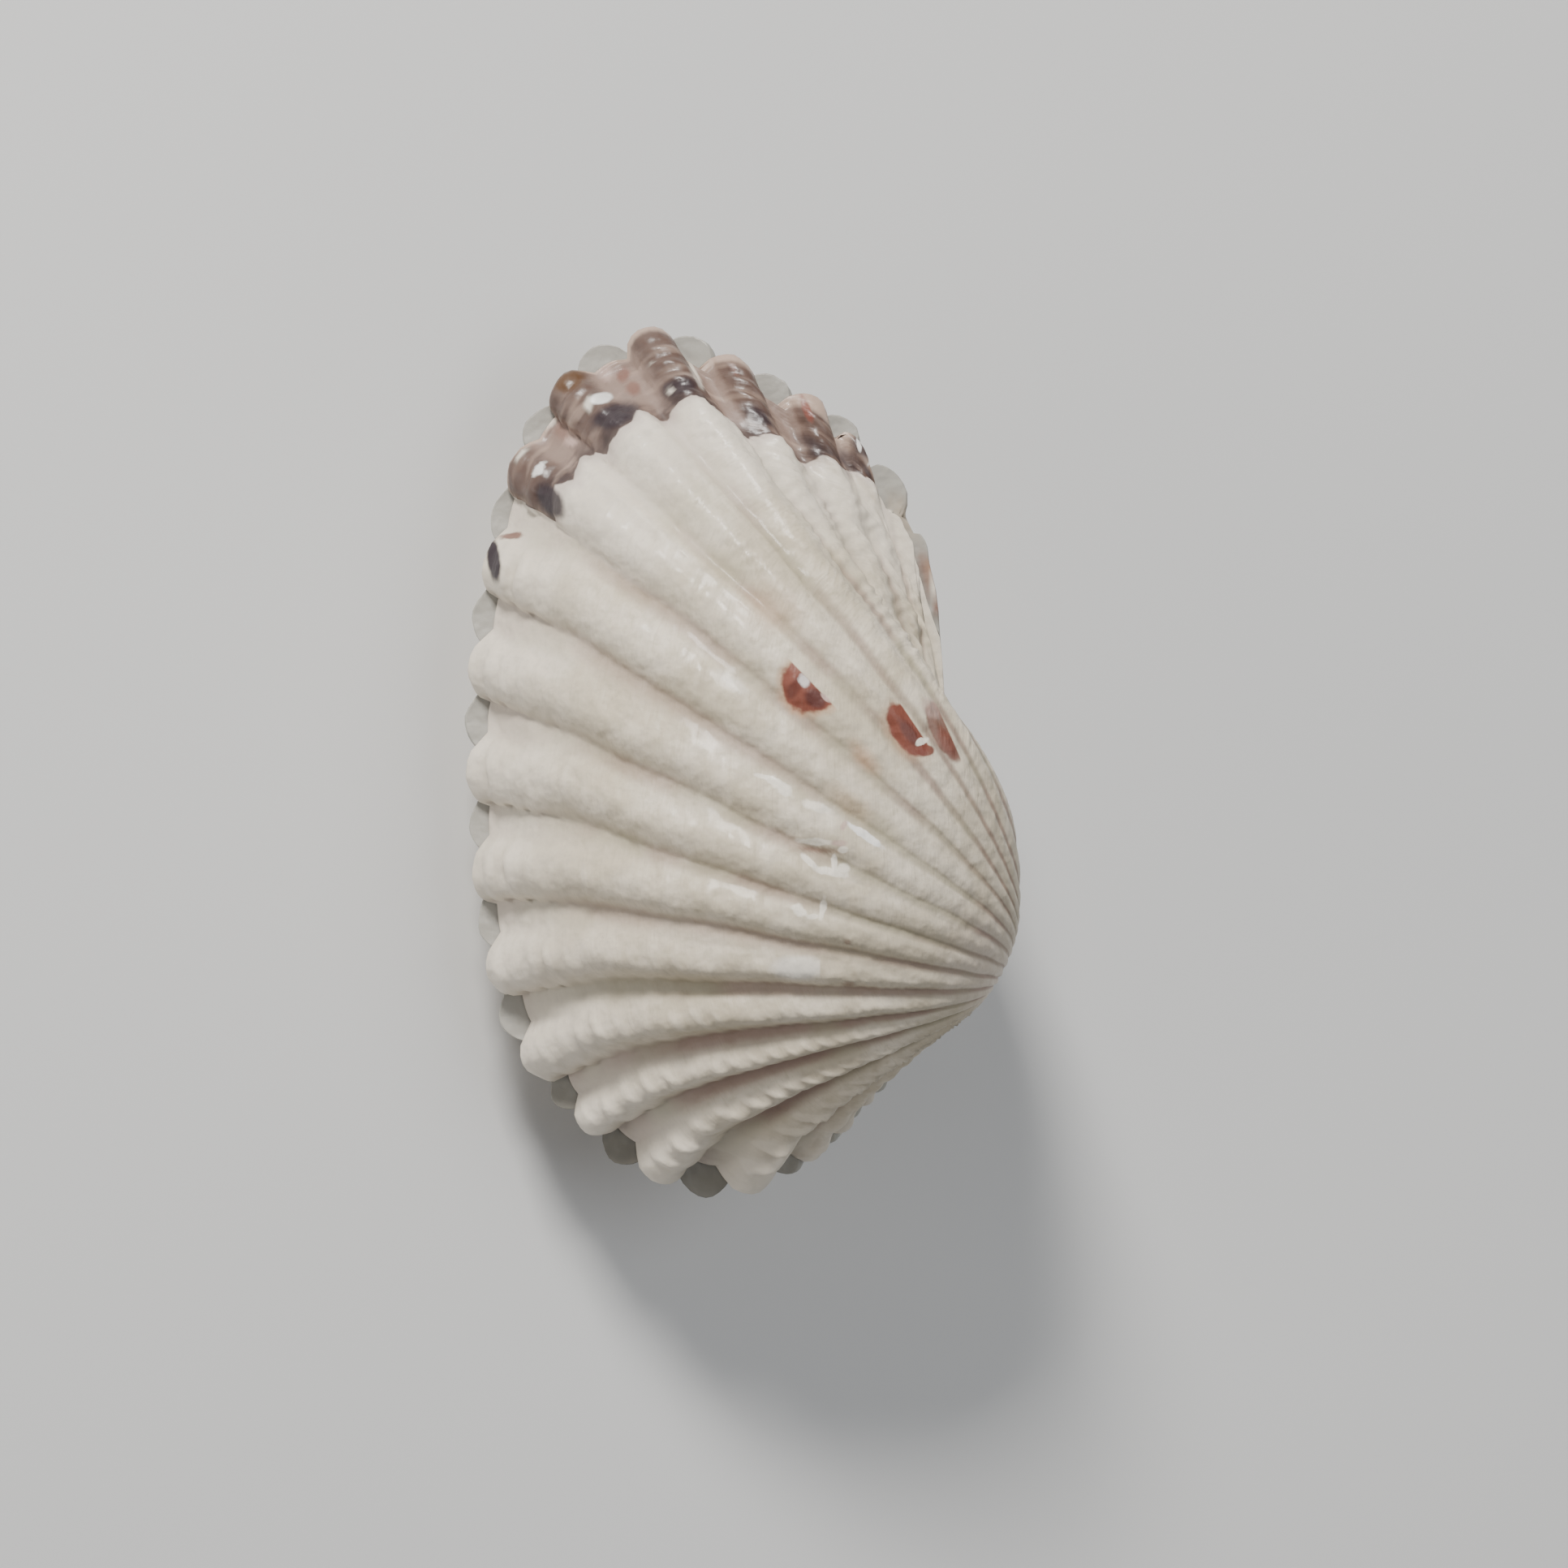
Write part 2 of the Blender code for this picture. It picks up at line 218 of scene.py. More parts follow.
@dataclass
class RibRow:
    """The ribs that run from the beak to the margin, from the front end to the back end."""

    first_start: float = 4.6
    widths: tuple[float, ...] = (
        1.45, 1.45, 1.4, 1.2, 2.0, 3.6, 3.3, 2.8, 3.6, 3.7, 3.7,
        3.9, 3.9, 3.8, 3.6, 3.4, 3.4, 3.3, 3.1, 3.4, 2.7,
    )
    height_share: float = 0.205
    front_height: float = 1.45
    back_height: float = 1.15
    groove_level: float = 0.50
    margin_crest: float = 0.30
    disc_crest: float = 0.41
    margin_zone: float = 0.30
    roundness: float = 1.55
    front_roundness: float = 2.1
    beak_height: float = 0.45
    back_crest_shift: float = 0.16
    bead_length: float = 1.12
    scale_length: float = 0.50
    front_beads: float = 0.36
    edge_bumps: float = 0.16
    disc_bumps: float = 0.075
    back_scales: float = 0.13
    jag: float = 0.04
    groove_wander: float = 0.030
    widest: float = 3.9
    front_ribs: Pair = (10.5, 7.0)
    back_ribs: Pair = (13.6, 15.4)
    last_ribs: Pair = (17.0, 18.5)
    last_flatness: float = 0.45
    beak_zone: Pair = (0.35, 1.7)
    end_zone: Pair = (0.20, 0.02)
    end_fade: float = 1.2
    end_swelling: float = 0.18
    bead_width: float = 0.23
    bead_narrowing: float = 0.05
    bead_shift: float = 0.03
    side_riblet: float = 0.30
    beat_unevenness: float = 0.34
    beat_shift: float = 0.618

    def __post_init__(self) -> None:
        """Place the ribs' edges along the margin."""
        self.edges = self.first_start + np.concatenate(([0.0], np.cumsum(self.widths)))
        self.middles = (self.edges[1:] + self.edges[:-1]) / 2.0

    def count(self, length: Array, phase: float) -> Array:
        """Number the ribs at lengths along the margin, with the place across the rib as the fraction."""
        return np.interp(length, self.edges, np.arange(len(self.edges))) - phase

    def front(self, rib: Array) -> Array:
        """Tell how far a rib belongs to the beaded ribs at the front end."""
        return smooth_step(*self.front_ribs, rib)

    def back(self, rib: Array) -> Array:
        """Tell how far a rib belongs to the narrow scaly ribs at the back end."""
        return smooth_step(*self.back_ribs, rib)

    def knob_place(self, rib: Array) -> Array:
        """Find the place across a rib where its end stands highest."""
        shifted = smooth_step(15.0, 16.0, rib) * smooth_step(19.0, 18.5, rib)
        return self.margin_crest + self.back_crest_shift * shifted

    def height(self, length: Array, turn: Array) -> Array:
        """Give the ribs' height over their grooves.

        Args:
            length: Lengths along the margin in mm.
            turn: Turns about the hinge line.

        Returns:
            Heights in mm, zero where there are no ribs.
        """
        widths = np.minimum(np.array(self.widths), self.widest)
        before, after = length - self.edges[0], self.edges[-1] - length
        ends = smooth_step(0.0, self.end_fade, before) * smooth_step(0.0, self.end_fade, after)
        rib = np.interp(length, self.middles, np.arange(len(widths)))
        stronger = 1.0 + (self.front_height - 1.0) * self.front(rib) + (self.back_height - 1.0) * self.back(rib)
        stronger = stronger * (1.0 - (1.0 - self.beak_height) * smooth_step(*self.beak_zone, turn))
        last = smooth_step(*self.last_ribs, rib) * smooth_step(0.10, 0.25, turn)
        stronger = stronger * (1.0 - self.last_flatness * last)
        at_end = self.end_swelling * smooth_step(*self.end_zone, turn)
        swollen = 1.0 + at_end * (1.0 + self.front(rib) + 1.5 * self.back(rib))
        return self.height_share * np.interp(length, self.middles, widths) * ends * stronger * swollen

    def wave(self, rib: Array, turn: Array, reach: Array) -> Array:
        """Give the beat of the knobs along a rib.

        Args:
            rib: Rib numbers.
            turn: Turns about the hinge line.
            reach: Distances of the margin from the hinge line in mm.

        Returns:
            Values from 0 between two knobs to 1 on a knob.
        """
        length = self.bead_length + (self.scale_length - self.bead_length) * self.back(rib)
        spacing = length / (PATH_STRETCH * np.maximum(reach, LEAST_ARC))
        uneven = self.beat_unevenness * ripple(rib * 2.3, turn / spacing * 0.45, 2.0)
        beat = turn / spacing + np.mod(rib * self.beat_shift, 1.0) + uneven
        return 0.5 + 0.5 * np.cos(2.0 * math.pi * beat)

    def place(self, length: Array, turn: Array, phase: float, reach: Array) -> tuple[Array, Array]:
        """Tell the rib and the place across it, with jagged groove lines.

        Args:
            length: Lengths along the margin in mm.
            turn: Turns about the hinge line.
            phase: Shift of the ribs in ribs.
            reach: Distances of the margin from the hinge line in mm.

        Returns:
            Rib numbers, and places from 0 at the front edge to 1 at the back edge.
        """
        count = self.count(length, phase) + 0.0 * turn
        close = np.floor(count + 0.25)
        wave = self.wave(close, turn, reach)
        jag = self.jag * (wave - 0.4) * np.exp(-(((count - close) / 0.16) ** 2))
        jag = jag * (0.35 + 0.65 * self.front(close)) * smooth_step(2.2, 1.0, turn)
        wander = self.groove_wander * ripple(close * 3.1, turn * 9.0, 4.0) * smooth_step(0.0, 0.25, turn)
        count = count + jag + wander * smooth_step(0.0, 1.0, count) * smooth_step(21.0, 20.0, count)
        rib = np.floor(count)
        return rib, np.clip(count - rib, 1e-4, 1.0 - 1e-4)

    def profile(self, rib: Array, place: Array, turn: Array) -> Array:
        """Give the ribs' cross-section, steep to the front and gentle to the back.

        Args:
            rib: Rib numbers.
            place: Places across the ribs.
            turn: Turns about the hinge line.

        Returns:
            Values from 0 in a groove to 1 on a crest.
        """
        crest = self.disc_crest + 0.06 * self.back(rib)
        disc_place = place ** (math.log(0.5) / np.log(crest))
        power = self.roundness + (self.front_roundness - self.roundness) * self.front(rib)
        disc = np.sin(math.pi * disc_place) ** power
        half = self.margin_crest * 1.05
        top = self.knob_place(rib)
        knob = np.sqrt(np.clip(1.0 - ((place - top) / half) ** 2, 0.0, 1.0)) ** 0.85
        flank = 0.36 * (1.0 - place) ** 0.75 * smooth_step(0.0, 1.0, place / top)
        edge = np.maximum(knob, flank) + 0.25 * np.minimum(knob, flank)
        edge = edge / 1.08
        near = smooth_step(self.margin_zone, 0.0, turn)
        riblet = self.side_riblet * np.exp(-(((place - 0.80) / 0.075) ** 2)) * smooth_step(1.1, 0.5, turn)
        riblet = riblet * smooth_step(0.13, 0.20, turn) * smooth_step(13.5, 14.0, rib) * smooth_step(16.6, 15.9, rib)
        return near * edge + (1.0 - near) * disc + riblet

    def beads(self, rib: Array, place: Array, turn: Array, reach: Array) -> Array:
        """Give the knobs and scales that sit on the ribs.

        Args:
            rib: Rib numbers.
            place: Places across the ribs.
            turn: Turns about the hinge line.
            reach: Distances of the margin from the hinge line in mm.

        Returns:
            Heights over the plain ribs in mm.
        """
        near = smooth_step(self.margin_zone, 0.0, turn)
        crest = self.knob_place(rib) * near + (self.disc_crest + 0.02) * (1.0 - near)
        wave = self.wave(rib, turn + 0.0 * place, reach)
        front, back = self.front(rib), self.back(rib)
        knob = (1.0 - front) * (1.0 - (1.0 - wave) ** 1.1) + front * (0.22 + 0.95 * wave**2.0)
        middle = (1.0 - front) * (1.0 - back)
        width = self.bead_width - self.bead_narrowing * front
        on_crest = np.exp(-(((place - crest - self.bead_shift * front) / width) ** 2))
        uneven = 0.70 + 0.15 * front + 0.75 * ripple(rib * 1.9, turn * 19.0, 7.0) * (1.0 - 0.35 * front)
        at_edge = smooth_step(0.19, 0.09, turn)
        broad = 1.0 + 0.6 * smooth_step(4.0, 5.0, rib) * smooth_step(6.0, 5.0, rib)
        broad = broad - 0.5 * smooth_step(6.0, 7.5, rib) - 0.6 * smooth_step(4.5, 3.5, rib)
        size = self.front_beads * front * broad * (0.45 + 0.55 * smooth_step(0.03, 0.10, turn)) * np.exp(-0.9 * turn)
        size = size + middle * (self.edge_bumps * at_edge + self.disc_bumps * smooth_step(1.4, 0.6, turn))
        size = size + self.back_scales * back * smooth_step(2.2, 1.6, turn)
        return size * on_crest * uneven * (knob - 0.35) * smooth_step(3.0, 1.8, turn)


@dataclass
class GrowthStep:
    """The step at the back end where the old white layer ends in lobes over a thin brown band."""

    knots: tuple[Pair, ...] = (
        (13.97, -6.0), (14.03, 8.6), (14.25, 8.0), (14.42, 8.2), (14.60, 10.0), (14.69, 8.6), (14.85, 8.4),
        (15.00, 9.8), (15.06, 11.5), (15.30, 11.3), (15.60, 11.4), (15.76, 10.4), (15.90, 12.8), (16.02, 13.4),
        (16.20, 12.0), (16.45, 11.5), (16.62, 13.5), (16.80, 14.4), (17.05, 15.3), (17.45, 13.2), (17.65, 14.3),
        (17.90, 13.9), (18.10, 13.0), (18.35, 10.6), (18.70, 10.2), (18.95, 7.8), (19.20, 6.4), (19.45, 4.4),
        (19.70, 1.8), (19.95, -6.0),
    )
    drop: float = 0.17
    edge_turn: float = 0.010
    raggedness: float = 0.006

    def line(self, count: Array, turn: Array) -> Array:
        """Find the turn where the step lies.

        Args:
            count: Rib numbers with the place across the rib as their fraction.
            turn: Turns about the hinge line.

        Returns:
            Turns in radians, below zero where there is no band.
        """
        counts, degrees = np.array(self.knots).T
        ragged = self.raggedness * ripple(count * 14.0, turn * 60.0, 9.0)
        return np.interp(count, counts, np.radians(degrees)) + ragged

    def depth(self, count: Array, turn: Array) -> Array:
        """Measure in mm how far the new growth lies below the old layer."""
        line = self.line(count, turn)
        return self.drop * smooth_step(line + self.edge_turn, line - self.edge_turn, turn)


@dataclass(frozen=True)
class StainAndPaintedLight:
    """A soft or sharp mark of one colour on a valve, placed in the shell's frame in mm; most are real stains, and a
    few are painted highlights or painted shade.
    """

    centre: Pair
    radii: Pair
    angle: float
    colour: Triple
    strength: float
    softness: float = 0.6
    cut: Triple | None = None
    raised: float = 0.0

    def sharp(self) -> bool:
        """Tell whether the mark's edge is too sharp for the mesh's own points."""
        return self.softness < 0.38

    def amount(self, x: Array, y: Array) -> Array:
        """Measure how strongly the mark shows.

        Args:
            x: Places along the shell's +X in mm.
            y: Places along the shell's +Y in mm.

        Returns:
            Values from 0 to the mark's strength.
        """
        cos, sin = math.cos(math.radians(self.angle)), math.sin(math.radians(self.angle))
        dx, dy = x - self.centre[0], y - self.centre[1]
        along = (dx * cos + dy * sin) / self.radii[0]
        across = (dy * cos - dx * sin) / self.radii[1]
        far = np.sqrt(along**2 + across**2) + 0.10 * ripple(dx * 5.0, dy * 5.0, self.centre[0])
        amount = smooth_step(1.0 + self.softness, 1.0 - self.softness, far)
        if self.cut is not None:
            towards = math.radians(self.cut[2])
            side = (x - self.cut[0]) * math.cos(towards) + (y - self.cut[1]) * math.sin(towards)
            amount = amount * smooth_step(-0.03, 0.03, side + 0.03 * ripple(x * 7.0, y * 7.0, 3.0))
        return self.strength * amount


def counted(px: float, py: float) -> Pair:
    """Turn a place counted in steps to the right and down into mm in the shell's frame."""
    return (px - MARK_ORIGIN[0]) * MARK_STEP, (MARK_ORIGIN[1] - py) * MARK_STEP


def mark(
    px: float,
    py: float,
    wide: float,
    high: float,
    angle: float,
    colour: Triple,
    strength: float,
    softness: float = 0.6,
    cut: Triple | None = None,
    raised: float = 0.0,
) -> StainAndPaintedLight:
    """Make a mark from a place and sizes counted in steps.

    Args:
        px: Steps to the right.
        py: Steps down.
        wide: Half width in steps.
        high: Half height in steps.
        angle: Turn in degrees, anticlockwise.
        colour: Linear colour.
        strength: Strength from 0 to 1.
        softness: Share of the radius over which the edge fades.
        cut: Place in steps and direction in degrees of a straight edge, with the mark on the side it points to.
        raised: Height of the mark over the shell in mm, below zero for a pit.

    Returns:
        The mark in the shell's frame.
    """
    radii = (wide * MARK_STEP, high * MARK_STEP)
    placed = None if cut is None else (*counted(cut[0], cut[1]), cut[2])
    return StainAndPaintedLight(counted(px, py), radii, angle, colour, strength, softness, placed, raised)


RED_BROWN = (0.20, 0.050, 0.030)
DARK_RED = (0.075, 0.018, 0.014)
ORANGE = (0.50, 0.27, 0.14)
UMBER = (0.19, 0.085, 0.060)
INK = (0.026, 0.015, 0.020)
HONEY = (0.10, 0.045, 0.014)
CREAM = (0.88, 0.82, 0.70)
WHITE = (0.90, 0.88, 0.84)
STRAW = (0.50, 0.45, 0.28)
AMBER = (0.45, 0.30, 0.15)
PINK = (0.52, 0.37, 0.32)
TAN = (0.25, 0.155, 0.115)
OLIVE_BROWN_AND_SHADE = (0.13, 0.115, 0.085)

MARKS: tuple[StainAndPaintedLight, ...] = (
    mark(999, 845, 41, 40, 0, ORANGE, 0.65, 0.16, (1000, 843.5, 224)),
    mark(999, 845, 36, 35, 0, RED_BROWN, 0.97, 0.08, (1000, 843.5, 224), -0.05),
    mark(1004, 862, 14, 11, -40, DARK_RED, 0.85, 0.35, (1000, 843.5, 224)),
    mark(980, 848, 7, 16, -35, DARK_RED, 0.45, 0.36, (1000, 843.5, 224)),
    # Painted highlight: a white glint on the glossy red-brown spot
    mark(991, 841, 6, 9, 25, WHITE, 0.70, 0.35, (1000, 843.5, 224)),
    mark(1016, 861, 8, 2.5, -44, PINK, 0.85, 0.36),
    mark(1115, 902, 41, 24, -56, ORANGE, 0.45, 0.3, (1121, 888, 214)),
    mark(1116, 900, 37, 19, -56, RED_BROWN, 0.97, 0.10, (1121, 888, 214), -0.05),
    mark(1138, 925, 11, 7, 0, RED_BROWN, 0.92, 0.15),
    mark(1118, 903, 18, 7, -56, DARK_RED, 0.60, 0.36, (1121, 888, 214)),
    mark(1134, 914, 8, 4, 25, CREAM, 0.92, 0.2),
    mark(1161, 903, 40, 15, -62, UMBER, 0.92, 0.12, (1168, 905, 204), -0.05),
    mark(1145, 874, 14, 9, -50, PINK, 0.55, 0.37, (1168, 905, 204)),
    mark(1165, 915, 20, 8, -62, RED_BROWN, 0.65, 0.36, (1168, 905, 204)),
    mark(950, 752, 34, 24, -30, ORANGE, 0.30, 0.8),
    mark(1064, 934, 22, 9, -50, ORANGE, 0.55, 0.8),
    mark(1046, 990, 30, 12, -36, AMBER, 0.50, 0.8),
    mark(1090, 1022, 26, 9, -36, STRAW, 0.30, 0.8),
    mark(850, 640, 32, 40, -40, STRAW, 0.28, 0.9),
    mark(900, 700, 26, 14, -40, STRAW, 0.22, 0.9),
    mark(942, 957, 13, 3, -12, CREAM, 0.85, 0.3, None, 0.03),
    mark(955, 963, 15, 4, -22, CREAM, 0.90, 0.3, None, 0.03),
    mark(964, 971, 14, 6, -36, CREAM, 0.90, 0.3, None, 0.04),
    mark(1007, 994, 19, 6, -16, CREAM, 0.80, 0.3, None, 0.03),
    mark(1022, 1011, 12, 16, -20, CREAM, 0.30, 0.8),
    mark(985, 983, 18, 9, -30, STRAW, 0.30, 0.6),
    mark(1003, 1036, 22, 4, -5, CREAM, 0.75, 0.3, None, 0.03),
    mark(1032, 1038, 9, 4, 0, PINK, 0.75, 0.3),
    mark(1012, 1046, 28, 3.5, -4, UMBER, 0.55, 0.45),
    mark(996, 1060, 14, 4, -40, CREAM, 0.90, 0.25, None, 0.03),
    mark(1019, 1072, 21, 5, -12, CREAM, 0.92, 0.22, None, 0.04),
    mark(1027, 1062, 3.5, 10, 0, CREAM, 0.92, 0.25, None, 0.03),
    mark(1038, 1069, 7, 6, 0, CREAM, 0.85, 0.3, None, 0.03),
    mark(1037, 1046, 6, 4, 0, CREAM, 0.75, 0.3),
    mark(1064, 1028, 26, 4.5, -34, WHITE, 0.92, 0.2, None, 0.03),
    mark(1038, 1017, 4, 7, -30, PINK, 0.75, 0.3),
    mark(984, 1119, 11, 6, -30, CREAM, 0.88, 0.25, None, 0.03),
    mark(1013, 1117, 4, 12, -8, CREAM, 0.88, 0.25, None, 0.03),
    mark(1001, 1127, 6, 3, 10, CREAM, 0.75, 0.3),
    mark(983, 1189, 32, 14, 0, WHITE, 0.42, 0.3, (1010, 1188, 180)),
    mark(1043, 1158, 5, 3, 0, UMBER, 0.55, 0.4),
    mark(1045, 1209, 7, 3, 0, UMBER, 0.50, 0.4),
    mark(904, 842, 20, 6, -35, WHITE, 0.30, 0.6),
    mark(680, 618, 24, 13, -55, INK, 0.92, 0.30),
    mark(609, 690, 8, 28, 8, INK, 1.0, 0.25),
    mark(630, 661, 15, 4, 8, UMBER, 0.90, 0.35),
    mark(757, 514, 28, 14, 20, INK, 0.92, 0.35),
    mark(838, 478, 24, 11, 14, INK, 0.85, 0.4),
    mark(934, 513, 18, 9, -35, INK, 0.85, 0.4),
    mark(998, 548, 24, 8, -35, INK, 0.60, 0.5),
    mark(1045, 566, 16, 8, -35, INK, 0.55, 0.5),
    mark(700, 468, 20, 15, 15, HONEY, 0.92, 0.35),
    mark(697, 450, 18, 5, 15, STRAW, 0.85, 0.35),
    mark(1067, 548, 20, 16, -40, INK, 0.85, 0.35),
    mark(1082, 566, 8, 18, 25, INK, 0.80, 0.40),
    mark(1058, 546, 2.5, 10, 10, WHITE, 0.90, 0.3),
    mark(1077, 558, 2.5, 15, -25, WHITE, 0.90, 0.3),
    mark(664, 580, 12, 5, 48, WHITE, 0.88, 0.3),
    mark(644, 558, 12, 3, 50, CREAM, 0.70, 0.4),
    mark(741, 492, 14, 7, 12, WHITE, 0.88, 0.25),
    mark(726, 500, 6, 9, 0, CREAM, 0.70, 0.4),
    mark(692, 532, 14, 8, -60, UMBER, 0.45, 0.6),
    mark(704, 545, 8, 6, 0, PINK, 0.80, 0.4),
    mark(678, 521, 9, 5, 30, CREAM, 0.60, 0.4),
    mark(745, 458, 12, 8, -60, PINK, 0.70, 0.5),
    mark(768, 462, 8, 10, 0, UMBER, 0.85, 0.4),
    mark(780, 480, 9, 9, 0, UMBER, 0.75, 0.4),
    # Painted highlights: two small cream glints on the brown tube of the band
    mark(806, 447, 4, 3, 0, CREAM, 0.75, 0.4),
    mark(827, 483, 4, 3, 0, CREAM, 0.75, 0.4),
    mark(857, 461, 20, 2.5, -63, CREAM, 0.70, 0.4),
    mark(994, 505, 5, 17, 20, RED_BROWN, 0.85, 0.35),
    mark(904, 456, 5, 9, 30, UMBER, 0.80, 0.4),
    mark(1215, 1185, 42, 60, 12, PINK, 0.18, 0.9),
)
FAR_MARKS: tuple[StainAndPaintedLight, ...] = (
    mark(1112, 636, 14, 30, 30, AMBER, 0.30, 0.6),
    mark(1150, 716, 14, 40, 26, TAN, 0.95, 0.5),
    mark(1147, 700, 6, 12, 26, ORANGE, 0.30, 0.5),
    mark(1154, 742, 8, 16, 26, UMBER, 0.85, 0.5),
    # Painted highlight: a small cream glint on the brown lobe
    mark(1150, 722, 3, 5, 0, CREAM, 0.80, 0.4),
    # The left valve's lobes along the front end: partly their own olive tint, partly painted shade
    mark(895, 1450, 70, 30, 8, OLIVE_BROWN_AND_SHADE, 0.70, 0.6),
    mark(770, 1425, 60, 36, -24, OLIVE_BROWN_AND_SHADE, 0.70, 0.6),
    mark(690, 1370, 36, 46, 30, OLIVE_BROWN_AND_SHADE, 0.50, 0.8),
)


class Side(Enum):
    """Which valve, by the side of the meeting plane that it stands on."""

    RIGHT = 1.0
    LEFT = -1.0


def placing() -> Matrix:
    """Give the move from the shell's frame in mm to the world in metres."""
    shift = Matrix.Translation(Vector(REST_PLACE) * MM)
    return shift @ Matrix.Rotation(TIP, 4, "Y") @ Matrix.Scale(MM, 4)


def deselect_all() -> None:
    """Leave object mode's selection empty."""
    if bpy.context.object is not None and bpy.context.object.mode != "OBJECT":
        bpy.ops.object.mode_set(mode="OBJECT")
    bpy.ops.object.select_all(action="DESELECT")


def write_values(mesh: bpy.types.Mesh, name: str, values: Array) -> None:
    """Store one number for each point of a mesh, under a name."""
    layer = mesh.attributes.new(name, "FLOAT", "POINT")
    layer.data.foreach_set("value", values.astype(np.float32).ravel())


